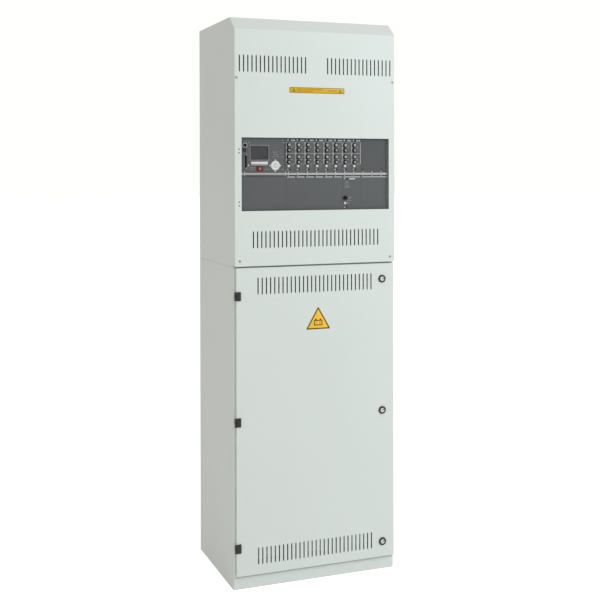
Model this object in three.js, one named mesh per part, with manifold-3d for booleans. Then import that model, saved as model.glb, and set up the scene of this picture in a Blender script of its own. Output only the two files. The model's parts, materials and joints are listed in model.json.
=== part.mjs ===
// A floor-standing central-battery supply cabinet, made of two sheet-steel cabinets. The lower one
// holds three levels of batteries behind a hinged, vented door. The upper one holds two rows of
// rack-height plug-in units behind a screwed cover with a window.
// Units are millimetres. +X is right, +Y is the rear, +Z is up, and the origin is on the floor under
// the middle of the cabinet.

import * as THREE from 'three';
import { mergeVertices } from 'three/addons/utils/BufferGeometryUtils.js';
import Module from 'manifold-3d';

const wasm = await Module();
wasm.setup();

// Driving dimensions
const WIDTH = 640;
const DEPTH = 470;                  // hinge and lock faces to the rear panels
const HEIGHT = 2080;
const LOWER_HEIGHT = 1170;          // battery cabinet
const SHEET = 2;                    // folded steel
const GAP = 0.3;                    // between pieces that touch
const PANEL_GAP = 0.8;              // between neighbouring front panels
const PANEL_RECESS = 10;            // front panels behind the cover's face
const DOOR_DEPTH = 15;              // door face in front of the frame
const COVER_DEPTH = 18;             // cover face in front of the frame
const FITTING_DEPTH = 5;            // hinges and locks in front of the door face
const PANEL_HEIGHT = 128.5;         // front panel of a row three rack units high
const ROW_SPACE = 13.2;             // between the panels of the two rows
const ROW_MIDDLE = 1505.2;          // height of the line between the two rows
const MODULE_PITCH = 37.56;
const MODULE_COUNT = 8;

// Planes and edges that follow from them
const SIDE = WIDTH / 2;
const FOREMOST = -DEPTH / 2;
const DOOR_FACE = FOREMOST + FITTING_DEPTH;
const FRAME_FACE = DOOR_FACE + DOOR_DEPTH;
const COVER_FACE = FRAME_FACE - COVER_DEPTH;
const REAR = DEPTH / 2;
const CARCASS_REAR = REAR - SHEET - GAP;
const UPPER_BASE = LOWER_HEIGHT + 0.4;
const JOINT_EASE = 0.5;             // step round the edges where the two cabinets meet
const PANEL_FACE = COVER_FACE + PANEL_RECESS;
const PANEL_SHEET = 2.5;
const PANEL_BACK = PANEL_FACE + PANEL_SHEET;

// Lower cabinet
const STILE = 32;                   // front frame members beside the door opening
const SILL_HEIGHT = 70;
const TOP_RAIL = 30;
const FRONT_BEND = 5;               // outer radius of the folded front edges
const REAR_FLANGE = 20;
const FLOOR_TOP = 42;
const DOOR_LEFT = -SIDE + 7.4;
const DOOR_RIGHT = SIDE - 4.4;
const DOOR_BOTTOM = 51;
const DOOR_TOP = 1167;
const DOOR_MIDDLE_Z = (DOOR_BOTTOM + DOOR_TOP) / 2;
const HINGE_SPACING = 456;
const LOCK_SPACING = 499.5;
const LOCK_X = DOOR_RIGHT - 49;

// Vent slots, shared by the door and the cover
const SLOT_WIDTH = 4.6;
const SLOT_HEIGHT = 62;
const SLOT_PITCH = 16;
const DOOR_SLOT_PITCH = 16.1;
const DOOR_SLOT_OFFSET = 491;       // slot rows above and below the door's middle
const DOOR_SLOT_X = -4.3;

// Upper cabinet
const COVER_BOTTOM = 1173;
const COVER_BEND_Z = 2029.4;        // where the front face starts to lean back
const COVER_BEND_RADIUS = 8;
const COVER_LEAN = THREE.MathUtils.degToRad(49);
const RIDGE_Y = -179;               // where the sloped top edge meets the roof
const SHOULDER_FRONT_Z = 2036;      // the carcass's own slope, under the cover's
const SHOULDER_REAR_Z = 2067;
const UPPER_SLOT_X = 172;           // middles of the two slot rows above the window
const UPPER_SLOT_Z = 1908;
const LOWER_SLOT_Z = 1268.5;
const WINDOW_LEFT = -292.4;
const WINDOW_RIGHT = 295;
const WINDOW_HEIGHT = 267;
const WINDOW_Z = 1506.5;
const UPPER_STILE = 17;
const UPPER_SILL = 38;
const UPPER_HEAD = 50;              // roof down to the top of the front opening

// Battery levels: 12 V blocks, three across and two deep
const BATTERY = {
  width: 165, depth: 197, height: 162, terminal: 8, terminalInsetX: 24, terminalInsetY: 22,
};
const BATTERY_COLUMNS = 3;
const BATTERY_GAP_X = 22;
const BATTERY_GAP_Y = 8;
const LEVEL_PITCH = 372;

const BUTTON_CLEARANCE = 0.35;
const BEYOND = 60;                  // how far the tools that trim a whole side run past the cabinet

// Solids from closed three.js geometries
function solid(geometry) {
  const bare = geometry.clone();
  bare.deleteAttribute('normal');
  bare.deleteAttribute('uv');
  const merged = mergeVertices(bare, 1e-4);
  return new wasm.Manifold(new wasm.Mesh({
    numProp: 3,
    vertProperties: new Float32Array(merged.attributes.position.array),
    triVerts: new Uint32Array(merged.index.array),
  }));
}

function block(x0, x1, y0, y1, z0, z1) {
  const geometry = new THREE.BoxGeometry(x1 - x0, y1 - y0, z1 - z0);
  geometry.translate((x0 + x1) / 2, (y0 + y1) / 2, (z0 + z1) / 2);
  return solid(geometry);
}

// A round bar along Y (towards the front), from y0 to y1
function barY(x, z, radius, y0, y1, sides = 20) {
  const geometry = new THREE.CylinderGeometry(radius, radius, y1 - y0, sides);
  geometry.translate(x, (y0 + y1) / 2, z);
  return solid(geometry);
}

// A round bar along Z, from z0 to z1
function barZ(x, y, radius, z0, z1, sides = 16) {
  const geometry = new THREE.CylinderGeometry(radius, radius, z1 - z0, sides);
  geometry.rotateX(Math.PI / 2);
  geometry.translate(x, y, (z0 + z1) / 2);
  return solid(geometry);
}

function rectangle(x0, x1, z0, z1, radius = 0, corners = 'all') {
  const shape = new THREE.Shape();
  const low = radius;
  const high = corners === 'all' ? radius : 0;
  shape.moveTo(x0 + low, z0);
  shape.lineTo(x1 - low, z0);
  if (low > 0) shape.absarc(x1 - low, z0 + low, low, -Math.PI / 2, 0, false);
  shape.lineTo(x1, z1 - high);
  if (high > 0) shape.absarc(x1 - high, z1 - high, high, 0, Math.PI / 2, false);
  shape.lineTo(x0 + high, z1);
  if (high > 0) shape.absarc(x0 + high, z1 - high, high, Math.PI / 2, Math.PI, false);
  shape.lineTo(x0, z0 + low);
  if (low > 0) shape.absarc(x0 + low, z0 + low, low, Math.PI, 1.5 * Math.PI, false);
  return shape;
}

// Front-view outlines (X, Z) pushed along Y
function prismY(shapes, y0, y1, curveSegments = 4) {
  const geometry = new THREE.ExtrudeGeometry(shapes, {
    depth: y1 - y0, bevelEnabled: false, curveSegments,
  });
  geometry.rotateX(Math.PI / 2);
  geometry.translate(0, y1, 0);
  return solid(geometry);
}

// Plan outlines (X, Y) pushed along Z
function prismZ(shapes, z0, z1, curveSegments = 4) {
  const geometry = new THREE.ExtrudeGeometry(shapes, {
    depth: z1 - z0, bevelEnabled: false, curveSegments,
  });
  geometry.translate(0, 0, z0);
  return solid(geometry);
}

// Side-view outlines (Y, Z) pushed along X
function prismX(shape, x0, x1, curveSegments = 4) {
  const geometry = new THREE.ExtrudeGeometry(shape, {
    depth: x1 - x0, bevelEnabled: false, curveSegments,
  });
  geometry.rotateY(Math.PI / 2);
  geometry.rotateX(Math.PI / 2);
  geometry.translate(x0, 0, 0);
  return solid(geometry);
}

function outline(points) {
  return new THREE.Shape(points.map(([a, b]) => new THREE.Vector2(a, b)));
}

function joined(solids) {
  return solids.reduce((all, next) => all.add(next));
}

// One upright slot with rounded ends, each end a half circle in three steps
function slotOutline(x, middleZ) {
  const radius = SLOT_WIDTH / 2;
  const points = [];
  for (const [turn, endZ] of [[0, middleZ + SLOT_HEIGHT / 2 - radius],
    [Math.PI, middleZ - SLOT_HEIGHT / 2 + radius]]) {
    for (let step = 0; step <= 3; step += 1) {
      const angle = turn + (step * Math.PI) / 3;
      points.push([x + radius * Math.cos(angle), endZ + radius * Math.sin(angle)]);
    }
  }
  return outline(points);
}

function slotRow(middleX, count, middleZ, pitch = SLOT_PITCH) {
  const firstX = middleX - ((count - 1) * pitch) / 2;
  return Array.from({ length: count }, (_, i) => slotOutline(firstX + i * pitch, middleZ));
}

function cutSlots(sheet, slots, faceY) {
  return sheet.subtract(prismY(slots, faceY - 1, faceY + SHEET + 1));
}

function meshOf(manifold) {
  const { vertProperties, triVerts } = manifold.getMesh();
  const geometry = new THREE.BufferGeometry();
  geometry.setAttribute('position', new THREE.BufferAttribute(new Float32Array(vertProperties), 3));
  geometry.setIndex(new THREE.BufferAttribute(new Uint32Array(triVerts), 1));
  const flat = geometry.toNonIndexed();
  flat.computeVertexNormals();
  return flat;
}

// Materials
function finish(color, roughness, metalness) {
  return () => new THREE.MeshStandardMaterial({ color, roughness, metalness });
}

const PAINT = finish(0xd6dcd9, 0.45, 0.0);
const PANEL_GREY = finish(0x5f6162, 0.5, 0.0);
const BLACK_METAL = finish(0x151515, 0.4, 0.3);
const BLACK_PLASTIC = finish(0x1a1a1a, 0.45, 0.0);
const STEEL = finish(0xb9bcc0, 0.3, 0.9);
const ZINC = finish(0xa9adb0, 0.4, 0.8);
const ALUMINIUM = finish(0xd4d5d3, 0.35, 0.8);
const SEAL_RUBBER = finish(0x202222, 0.9, 0.0);
const BATTERY_CASE = finish(0x3a3d42, 0.5, 0.0);
const GLASS = finish(0x3b4654, 0.1, 0.0);
const WHITE_PLASTIC = finish(0xe9eae8, 0.35, 0.0);
const RED_PLASTIC = finish(0xb8271f, 0.4, 0.0);
const GREY_PLASTIC = finish(0x9a9d9e, 0.45, 0.0);
const BOARD = finish(0x1f5a3a, 0.5, 0.0);

const cabinet = new THREE.Group();

function addPart(name, manifold, material, parent = cabinet, x = 0, y = 0, z = 0) {
  const mesh = new THREE.Mesh(meshOf(manifold), material());
  mesh.name = name;
  mesh.position.set(x, y, z);
  parent.add(mesh);
}

// The way for cables from one cabinet to the other
function cablePassage(z0, z1) {
  return block(-240, 240, 60, 180, z0, z1);
}

// Lower cabinet: sides, roof, front frame and rear flanges welded into one carcass
function lowerShell() {
  const bend = FRONT_BEND;
  const plan = (inset, radius) => {
    const shape = new THREE.Shape();
    const x = SIDE - inset;
    const front = FRAME_FACE + inset;
    const rear = CARCASS_REAR - inset;
    shape.moveTo(-x + radius, front);
    shape.lineTo(x - radius, front);
    shape.absarc(x - radius, front + radius, radius, -Math.PI / 2, 0, false);
    shape.lineTo(x, rear);
    shape.lineTo(-x, rear);
    shape.lineTo(-x, front + radius);
    shape.absarc(-x + radius, front + radius, radius, Math.PI, 1.5 * Math.PI, false);
    return shape;
  };
  const outer = prismZ(plan(0, bend), 0, LOWER_HEIGHT);
  const inner = prismZ(plan(SHEET, bend - SHEET), SHEET, LOWER_HEIGHT - SHEET);
  const doorway = block(
    -SIDE + STILE, SIDE - STILE, FRAME_FACE - 1, FRAME_FACE + SHEET + 1,
    SILL_HEIGHT, LOWER_HEIGHT - TOP_RAIL,
  );
  const rearOpening = block(
    -SIDE + REAR_FLANGE, SIDE - REAR_FLANGE, CARCASS_REAR - SHEET - 1, CARCASS_REAR + 1,
    REAR_FLANGE, LOWER_HEIGHT - REAR_FLANGE,
  );
  const underside = block(
    -SIDE + STILE, SIDE - STILE, FRAME_FACE + STILE, CARCASS_REAR - REAR_FLANGE, -1, SHEET + 1,
  );
  const passage = cablePassage(LOWER_HEIGHT - SHEET - 1, LOWER_HEIGHT + 1);
  const eased = prismZ(plan(-1, bend), LOWER_HEIGHT - JOINT_EASE, LOWER_HEIGHT + 1).subtract(
    prismZ(plan(JOINT_EASE, bend - JOINT_EASE), LOWER_HEIGHT - 1, LOWER_HEIGHT + 2),
  );
  return outer.subtract(inner).subtract(doorway).subtract(rearOpening).subtract(underside)
    .subtract(passage).subtract(eased);
}

// A tray with its edges folded down, used for the floor pan and the battery shelves
function tray(halfWidth, y0, y1, top, fold) {
  const outer = block(-halfWidth, halfWidth, y0, y1, top - fold, top);
  const hollow = block(
    -halfWidth + SHEET, halfWidth - SHEET, y0 + SHEET, y1 - SHEET, top - fold - 1, top - SHEET,
  );
  return outer.subtract(hollow);
}

function rearPanel(z0, z1) {
  return block(-SIDE + 3, SIDE - 3, REAR - SHEET, REAR, z0, z1);
}

function batteryDoor() {
  const rear = FRAME_FACE - 1;
  const edge = 2;
  const depth = 2 * DOOR_DEPTH;
  const geometry = new THREE.ExtrudeGeometry(
    rectangle(DOOR_LEFT + edge, DOOR_RIGHT - edge, DOOR_BOTTOM + edge, DOOR_TOP - edge, 2),
    { depth, bevelThickness: edge, bevelSize: edge, bevelSegments: 3, curveSegments: 3 },
  );
  geometry.rotateX(Math.PI / 2);
  geometry.translate(0, DOOR_FACE + edge + depth, 0);
  const trim = block(-SIDE, SIDE, rear, DOOR_FACE + BEYOND, 0, HEIGHT);
  const pan = solid(geometry).subtract(trim);
  const hollow = block(
    DOOR_LEFT + SHEET, DOOR_RIGHT - SHEET, DOOR_FACE + SHEET, rear + 1,
    DOOR_BOTTOM + SHEET, DOOR_TOP - SHEET,
  );
  const slots = [-1, 1].flatMap((end) => (
    slotRow(DOOR_SLOT_X, 29, DOOR_MIDDLE_Z + end * DOOR_SLOT_OFFSET, DOOR_SLOT_PITCH)
  ));
  let door = cutSlots(pan.subtract(hollow), slots, DOOR_FACE);
  for (const level of [-1, 0, 1]) {
    const z = DOOR_MIDDLE_Z + level * LOCK_SPACING;
    door = door.subtract(barY(LOCK_X, z, LOCK.bodyRadius + GAP, DOOR_FACE - 1, DOOR_FACE + SHEET + 1));
  }
  return door;
}

// A foam frame on the back of the door, pressed against the front frame
function doorGasket() {
  const inset = 7;
  const width = 12;
  const low = DOOR_BOTTOM + inset;
  const high = DOOR_TOP - inset;
  const left = DOOR_LEFT + inset;
  const right = DOOR_RIGHT - inset;
  const y0 = DOOR_FACE + SHEET + GAP;
  const y1 = FRAME_FACE - GAP;
  const outer = block(left, right, y0, y1, low, high);
  return outer.subtract(block(left + width, right - width, y0 - 1, y1 + 1, low + width, high - width));
}

// Hinges: local origin on the pin, at mid height. The frame leaf's lug passes the door's edge to the frame.
const HINGE = {
  x: -SIDE + 3.8, y: FOREMOST + 3.5, height: 32, radius: 3.3, pinRadius: 1.6, knuckle: 10.6,
  leafWidth: 20.2, lugLeft: 1, lugRight: 3.1,
};

function hingeFrameLeaf() {
  const half = HINGE.knuckle / 2;
  const knuckle = barZ(0, 0, HINGE.radius, -half, half);
  const lug = block(HINGE.lugLeft, HINGE.lugRight, 0, FRAME_FACE - GAP - HINGE.y, -half, half);
  const pin = barZ(0, 0, HINGE.pinRadius, -HINGE.height / 2 + 1, HINGE.height / 2 - 1, 12);
  return joined([knuckle, lug, pin]);
}

function hingeDoorLeaf() {
  const top = HINGE.height / 2;
  const split = HINGE.knuckle / 2 + GAP;
  const front = FOREMOST - HINGE.y;
  const back = DOOR_FACE - GAP - HINGE.y;
  const plate = block(HINGE.radius + 0.6, HINGE.leafWidth, front, back, -top, top);
  const parts = [plate];
  for (const [z0, z1] of [[split, top], [-top, -split]]) {
    parts.push(barZ(0, 0, HINGE.radius, z0, z1));
    parts.push(block(0, HINGE.radius + 1, front + 0.2, back, z0, z1));
  }
  return joined(parts).subtract(barZ(0, 0, HINGE.pinRadius + GAP, -top - 1, top + 1, 12));
}

// Quarter-turn locks: local origin on the lock's axis, in the plane of the door face
const LOCK = { bezelRadius: 14.6, bodyRadius: 11.4, coreRadius: 8.5, bodyDepth: 17.5, camLength: 36 };

function lockHousing() {
  const profile = [
    [0, -FITTING_DEPTH + 0.4], [LOCK.bezelRadius - 2.6, -FITTING_DEPTH],
    [LOCK.bezelRadius - 0.8, -FITTING_DEPTH + 0.7], [LOCK.bezelRadius, -FITTING_DEPTH + 2.2],
    [LOCK.bezelRadius, -GAP], [LOCK.bodyRadius, -GAP], [LOCK.bodyRadius, LOCK.bodyDepth],
    [0, LOCK.bodyDepth],
  ];
  const geometry = new THREE.LatheGeometry(profile.map(([r, y]) => new THREE.Vector2(r, y)), 24);
  return solid(geometry).subtract(barY(0, 0, LOCK.coreRadius + GAP, -10, LOCK.bodyDepth + 5, 20));
}

// The core's driving slot stands upright at rest, with the cam hanging down beside the frame
function lockCore() {
  const face = -FITTING_DEPTH + 1.2;
  const camY = FRAME_FACE + SHEET + 1.2 - DOOR_FACE;
  const barrel = barY(0, 0, LOCK.coreRadius, face, camY + 1, 20);
  const driver = block(-1.8, 1.8, face - 1, face + 3, -6.6, 6.6);
  const cam = prismY(
    rectangle(-8, 8, -LOCK.camLength, 8, 5), camY, camY + 3, 3,
  );
  return barrel.subtract(driver).add(cam);
}

// One level of battery blocks, tied into a string by the bars on their terminals
function batteryString() {
  const pitchX = BATTERY.width + BATTERY_GAP_X;
  const pitchY = BATTERY.depth + BATTERY_GAP_Y;
  const terminalX = BATTERY.width / 2 - BATTERY.terminalInsetX;
  const terminalY = BATTERY.depth / 2 - BATTERY.terminalInsetY;
  const parts = [];
  const xs = [];
  for (let column = 0; column < BATTERY_COLUMNS; column += 1) {
    xs.push((column - (BATTERY_COLUMNS - 1) / 2) * pitchX);
  }
  const ys = [-pitchY / 2, pitchY / 2];
  for (const x of xs) {
    for (const y of ys) {
      parts.push(block(
        x - BATTERY.width / 2, x + BATTERY.width / 2, y - BATTERY.depth / 2, y + BATTERY.depth / 2,
        0, BATTERY.height,
      ));
    }
  }
  const barLow = BATTERY.height - 1;
  const barHigh = BATTERY.height + BATTERY.terminal;
  for (const y of ys) {
    const barY0 = y + Math.sign(y) * -terminalY;
    for (const x of xs.slice(0, -1)) {
      parts.push(block(x + terminalX - 9, x + pitchX - terminalX + 9, barY0 - 8, barY0 + 8, barLow, barHigh));
    }
  }
  const lastX = xs[xs.length - 1] + terminalX;
  parts.push(block(
    lastX - 8, lastX + 8, ys[0] + terminalY - 9, ys[1] - terminalY + 9, barLow, barHigh,
  ));
  for (const y of ys) {
    const x = xs[0] - terminalX;
    const postY = y + Math.sign(y) * -terminalY;
    parts.push(block(x - 8, x + 8, postY - 8, postY + 8, barLow, barHigh));
  }
  return joined(parts);
}

// Outline (Y, Z) of the cover, set in from its outer face by the given amount
function coverProfile(inset, bottom, open) {
  const face = COVER_FACE + inset;
  const radius = COVER_BEND_RADIUS - inset;
  const centreY = COVER_FACE + COVER_BEND_RADIUS;
  const slope = Math.tan(Math.PI / 2 - COVER_LEAN);
  const shape = new THREE.Shape();
  const endY = centreY - radius * Math.cos(COVER_LEAN);
  const endZ = COVER_BEND_Z + radius * Math.sin(COVER_LEAN);
  shape.moveTo(open, bottom);
  shape.lineTo(face, bottom);
  shape.lineTo(face, COVER_BEND_Z);
  const steps = 6;
  for (let i = 1; i <= steps; i += 1) {
    const angle = (COVER_LEAN * i) / steps;
    shape.lineTo(centreY - radius * Math.cos(angle), COVER_BEND_Z + radius * Math.sin(angle));
  }
  shape.lineTo(open, endZ + (open - endY) * slope);
  return shape;
}

// Outline (Y, Z) of the upper carcass, which follows the cover's outline behind its side folds
function upperOutline(front, inset, rear) {
  const slope = (SHOULDER_REAR_Z - SHOULDER_FRONT_Z) / (RIDGE_Y - FRAME_FACE);
  const turnZ = SHOULDER_FRONT_Z + inset * (slope - Math.hypot(1, slope));
  const ridge = RIDGE_Y + GAP + inset;
  return outline([
    [front + inset, UPPER_BASE + inset], [rear, UPPER_BASE + inset], [rear, HEIGHT - inset],
    [ridge, HEIGHT - inset], [ridge, SHOULDER_REAR_Z - inset], [front + inset, turnZ],
  ]);
}

function upperShell() {
  const outer = prismX(upperOutline(FRAME_FACE, 0, CARCASS_REAR), -SIDE, SIDE);
  const inner = prismX(
    upperOutline(FRAME_FACE, SHEET, CARCASS_REAR - SHEET), -SIDE + SHEET, SIDE - SHEET,
  );
  const front = block(
    -SIDE + UPPER_STILE, SIDE - UPPER_STILE, FRAME_FACE - 1, RIDGE_Y + GAP - 4,
    UPPER_BASE + UPPER_SILL, HEIGHT - UPPER_HEAD,
  );
  const rear = block(
    -SIDE + REAR_FLANGE, SIDE - REAR_FLANGE, CARCASS_REAR - SHEET - 1, CARCASS_REAR + 1,
    UPPER_BASE + REAR_FLANGE, HEIGHT - REAR_FLANGE,
  );
  const passage = cablePassage(UPPER_BASE - 1, UPPER_BASE + SHEET + 1);
  const eased = block(
    -SIDE - 1, SIDE + 1, FRAME_FACE - 1, CARCASS_REAR + 1, UPPER_BASE - 1, UPPER_BASE + JOINT_EASE,
  ).subtract(block(
    -SIDE + JOINT_EASE, SIDE - JOINT_EASE, FRAME_FACE + JOINT_EASE, CARCASS_REAR - JOINT_EASE,
    UPPER_BASE - 2, UPPER_BASE + SHEET,
  ));
  return outer.subtract(inner).subtract(front).subtract(rear).subtract(passage).subtract(eased);
}

// The cover is a shallow hood: its side folds reach back to the carcass, and its top leans back to the roof
function frontCover() {
  const bend = 4;
  const plan = (inset) => {
    const shape = new THREE.Shape();
    const x = SIDE - inset;
    const face = COVER_FACE + inset;
    const radius = bend - inset;
    shape.moveTo(-x + radius, face);
    shape.lineTo(x - radius, face);
    shape.absarc(x - radius, face + radius, radius, -Math.PI / 2, 0, false);
    shape.lineTo(x, REAR);
    shape.lineTo(-x, REAR);
    shape.lineTo(-x, face + radius);
    shape.absarc(-x + radius, face + radius, radius, Math.PI, 1.5 * Math.PI, false);
    return shape;
  };
  const lowCorner = 8;
  const front = (inset) => rectangle(
    -SIDE + inset, SIDE - inset, COVER_BOTTOM + inset, HEIGHT + BEYOND, lowCorner - inset, 'low',
  );
  const hood = (inset, open) => prismX(coverProfile(inset, COVER_BOTTOM + inset, open), -SIDE, SIDE)
    .intersect(prismZ(plan(inset), COVER_BOTTOM, HEIGHT + BEYOND))
    .intersect(prismY(front(inset), COVER_FACE - 1, REAR));
  const behind = prismX(outline([
    [FRAME_FACE - GAP, 0], [REAR, 0], [REAR, HEIGHT + BEYOND], [RIDGE_Y, HEIGHT + BEYOND],
    [RIDGE_Y, SHOULDER_REAR_Z + GAP], [FRAME_FACE - GAP, SHOULDER_FRONT_Z + GAP],
  ]), -SIDE - 1, SIDE + 1);
  const aboveRoof = block(-SIDE - 1, SIDE + 1, -SIDE, REAR, HEIGHT, HEIGHT + BEYOND);
  const cover = hood(0, RIDGE_Y + 10).subtract(hood(SHEET, RIDGE_Y + 20)).subtract(behind)
    .subtract(aboveRoof);
  const windowCut = block(
    WINDOW_LEFT, WINDOW_RIGHT, COVER_FACE - 1, COVER_FACE + SHEET + 1,
    WINDOW_Z - WINDOW_HEIGHT / 2, WINDOW_Z + WINDOW_HEIGHT / 2,
  );
  const slots = [
    ...slotRow(-UPPER_SLOT_X, 17, UPPER_SLOT_Z),
    ...slotRow(UPPER_SLOT_X, 17, UPPER_SLOT_Z),
    ...slotRow(0, 32, LOWER_SLOT_Z),
  ];
  return cutSlots(cover.subtract(windowCut), slots, COVER_FACE);
}

// Rows of plug-in units: panel edges and depths
const ROW = {
  left: -291, right: 291,
  upper: ROW_MIDDLE + ROW_SPACE / 2,
  lower: ROW_MIDDLE - ROW_SPACE / 2 - PANEL_HEIGHT,
  unitRear: -60,
};
const MODULES_LEFT = -117.8;
const MODULES_RIGHT = MODULES_LEFT + MODULE_COUNT * MODULE_PITCH;
const CHARGER_LEFT = MODULES_RIGHT - 2 * MODULE_PITCH;

// Local origin of a unit: lower left corner of its front panel
function panel(width) {
  return block(PANEL_GAP / 2, width - PANEL_GAP / 2, PANEL_FACE, PANEL_BACK, 0, PANEL_HEIGHT);
}

function unitBody(width, depth) {
  return block(2, width - 2, PANEL_BACK - 0.5, depth, 9, PANEL_HEIGHT - 9);
}

const FUSE_HEIGHTS = [39.5, 59, 83.3, 102.8];
const FUSE = { x: 10.2, radius: 6.8, front: PANEL_FACE - 7.8 };
const INFO_BUTTON = { x: 9.9, z: 24.9, radius: 4.8, travel: 1.5, proud: 2.2 };

function circuitModule() {
  const caps = FUSE_HEIGHTS.map((z) => barY(FUSE.x, z, FUSE.radius, FUSE.front, PANEL_FACE + 1, 10));
  const well = barY(
    INFO_BUTTON.x, INFO_BUTTON.z, INFO_BUTTON.radius + BUTTON_CLEARANCE, PANEL_FACE - 1, PANEL_FACE + 8,
  );
  return joined([panel(MODULE_PITCH), unitBody(MODULE_PITCH, ROW.unitRear), ...caps]).subtract(well);
}

// A round key with a softly domed face: local origin on its axis, in the plane of its panel
function roundKey(radius, proud, length, sides = 20) {
  const back = length - proud;
  const profile = [
    [0, -proud], [radius * 0.72, -proud + 0.12], [radius * 0.93, -proud + 0.5], [radius, -proud + 1.1],
    [radius, back], [0, back],
  ];
  return solid(new THREE.LatheGeometry(profile.map(([r, y]) => new THREE.Vector2(r, y)), sides));
}

const CHARGER = {
  width: 2 * MODULE_PITCH, buttonX: 10.2, buttonZ: 27.5, fuseX: 10.6, fuseZ: 47, fuseRadius: 7,
};

function chargerModule() {
  const cap = barY(CHARGER.fuseX, CHARGER.fuseZ, CHARGER.fuseRadius, FUSE.front, PANEL_FACE + 1, 16);
  const well = barY(
    CHARGER.buttonX, CHARGER.buttonZ, INFO_BUTTON.radius + BUTTON_CLEARANCE, PANEL_FACE - 1, PANEL_FACE + 8,
  );
  return joined([panel(CHARGER.width), unitBody(CHARGER.width, ROW.unitRear), cap]).subtract(well);
}

function blankPanel(width) {
  const stiffener = 10;
  const plate = panel(width);
  const folds = [
    block(2, 4, PANEL_BACK - 0.5, PANEL_BACK + stiffener, 9, PANEL_HEIGHT - 9),
    block(width - 4, width - 2, PANEL_BACK - 0.5, PANEL_BACK + stiffener, 9, PANEL_HEIGHT - 9),
  ];
  return joined([plate, ...folds]);
}

// Control panel and what sits in its cut-outs, in cabinet coordinates
const CONTROL = {
  left: ROW.left, right: MODULES_LEFT,
  display: { x: -220.8, z: 1584.5, width: 65, height: 45 },
  softkey: { x: -221, z: 1544.6, width: 66, height: 17 },
  red: { x: -219.8, z: 1526, width: 25, height: 17 },
  nav: { x: -160, z: 1538.3, radius: 17.8, okRadius: 5.6 },
  socket: { x: -276.6, z: 1611.8, radius: 9.4 },
  printer: { x: -273.7, z: 1552.8, width: 8.2, height: 44, slotWidth: 5.6, slotHeight: 40 },
};
const WELL_DEPTH = 22;

function keyBlock(key, y0, y1, grow = 0) {
  return block(
    key.x - key.width / 2 - grow, key.x + key.width / 2 + grow, y0, y1,
    key.z - key.height / 2 - grow, key.z + key.height / 2 + grow,
  );
}

function controlPanel() {
  const top = ROW.upper + PANEL_HEIGHT;
  const plate = block(
    CONTROL.left + PANEL_GAP / 2, CONTROL.right - PANEL_GAP / 2, PANEL_FACE, PANEL_BACK, ROW.upper, top,
  );
  const body = block(
    CONTROL.left + 2, CONTROL.right - 2, PANEL_BACK - 0.5, ROW.unitRear, ROW.upper + 2.5, top - 9,
  );
  const front = PANEL_FACE - 1;
  const well = PANEL_FACE + WELL_DEPTH;
  const { display, softkey, red, nav, socket, printer } = CONTROL;
  const cuts = [
    keyBlock(display, front, PANEL_FACE + 6, BUTTON_CLEARANCE),
    keyBlock(softkey, front, PANEL_FACE + 9, BUTTON_CLEARANCE),
    keyBlock(red, front, PANEL_FACE + 12, BUTTON_CLEARANCE),
    barY(nav.x, nav.z, nav.radius + 0.9, front, well, 32),
    barY(socket.x, socket.z, socket.radius + GAP, front, well, 24),
    keyBlock(printer, front, well, GAP),
  ];
  return cuts.reduce((rest, cut) => rest.subtract(cut), joined([plate, body]));
}

function displayWindow() {
  return keyBlock(CONTROL.display, PANEL_FACE + 0.8, PANEL_FACE + 5.6);
}

function softkeyBar() {
  const key = CONTROL.softkey;
  const cap = keyBlock(key, PANEL_FACE - 1.6, PANEL_FACE + 6.5);
  const chamfer = prismX(outline([
    [PANEL_FACE - 2, key.z - key.height / 2 - 1], [PANEL_FACE - 2, key.z - key.height / 2 + 4.5],
    [PANEL_FACE + 1, key.z - key.height / 2 - 1],
  ]), key.x - 60, key.x + 60);
  return cap.subtract(chamfer);
}

function redButton() {
  const { red } = CONTROL;
  const body = keyBlock(red, PANEL_FACE - 0.8, PANEL_FACE + 8.5);
  return body.add(barY(red.x, red.z, 7, PANEL_FACE - 2.6, PANEL_FACE));
}

// The navigation pad: a gimbal ring that turns about Z carries a disc that turns about X, and the centre
// button slides in the disc. The local origin is on both axes, behind the disc.
const NAV = { y: PANEL_FACE + 6, front: -8.2, thickness: 4, ringInner: 9, ringOuter: 13, post: 2 };

function navGimbal() {
  const ring = barY(0, 0, NAV.ringOuter, -1.4, 1.4, 24).subtract(barY(0, 0, NAV.ringInner, -3, 3, 24));
  const reach = CONTROL.nav.radius + 0.9 - GAP;
  const pivots = [
    barZ(0, 0, NAV.post / 2, NAV.ringInner + 1, reach, 8),
    barZ(0, 0, NAV.post / 2, -reach, -NAV.ringInner - 1, 8),
  ];
  return joined([ring, ...pivots]);
}

function navRing() {
  const radius = CONTROL.nav.radius;
  const back = NAV.front + NAV.thickness;
  const hole = CONTROL.nav.okRadius + BUTTON_CLEARANCE;
  const profile = [
    [hole, NAV.front + 1.2], [hole + 1, NAV.front + 0.6], [radius * 0.62, NAV.front + 0.15],
    [radius * 0.8, NAV.front], [radius * 0.95, NAV.front + 0.5], [radius, NAV.front + 1.4],
    [radius, back], [hole, back], [hole, NAV.front + 1.2],
  ];
  const disc = solid(new THREE.LatheGeometry(profile.map(([r, y]) => new THREE.Vector2(r, y)), 32));
  const ears = [-1, 1].map((side) => block(
    side * 14.6 - 1, side * 14.6 + 1, back - 0.5, 1.6, -3, 3,
  ));
  return joined([disc, ...ears]);
}

function keyboardSocket() {
  const { radius } = CONTROL.socket;
  const body = barY(0, 0, radius, PANEL_FACE - 1.2, PANEL_FACE + 16, 24);
  return body.subtract(barY(0, 0, radius - 2, PANEL_FACE - 3, PANEL_FACE + 9, 20));
}

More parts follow.
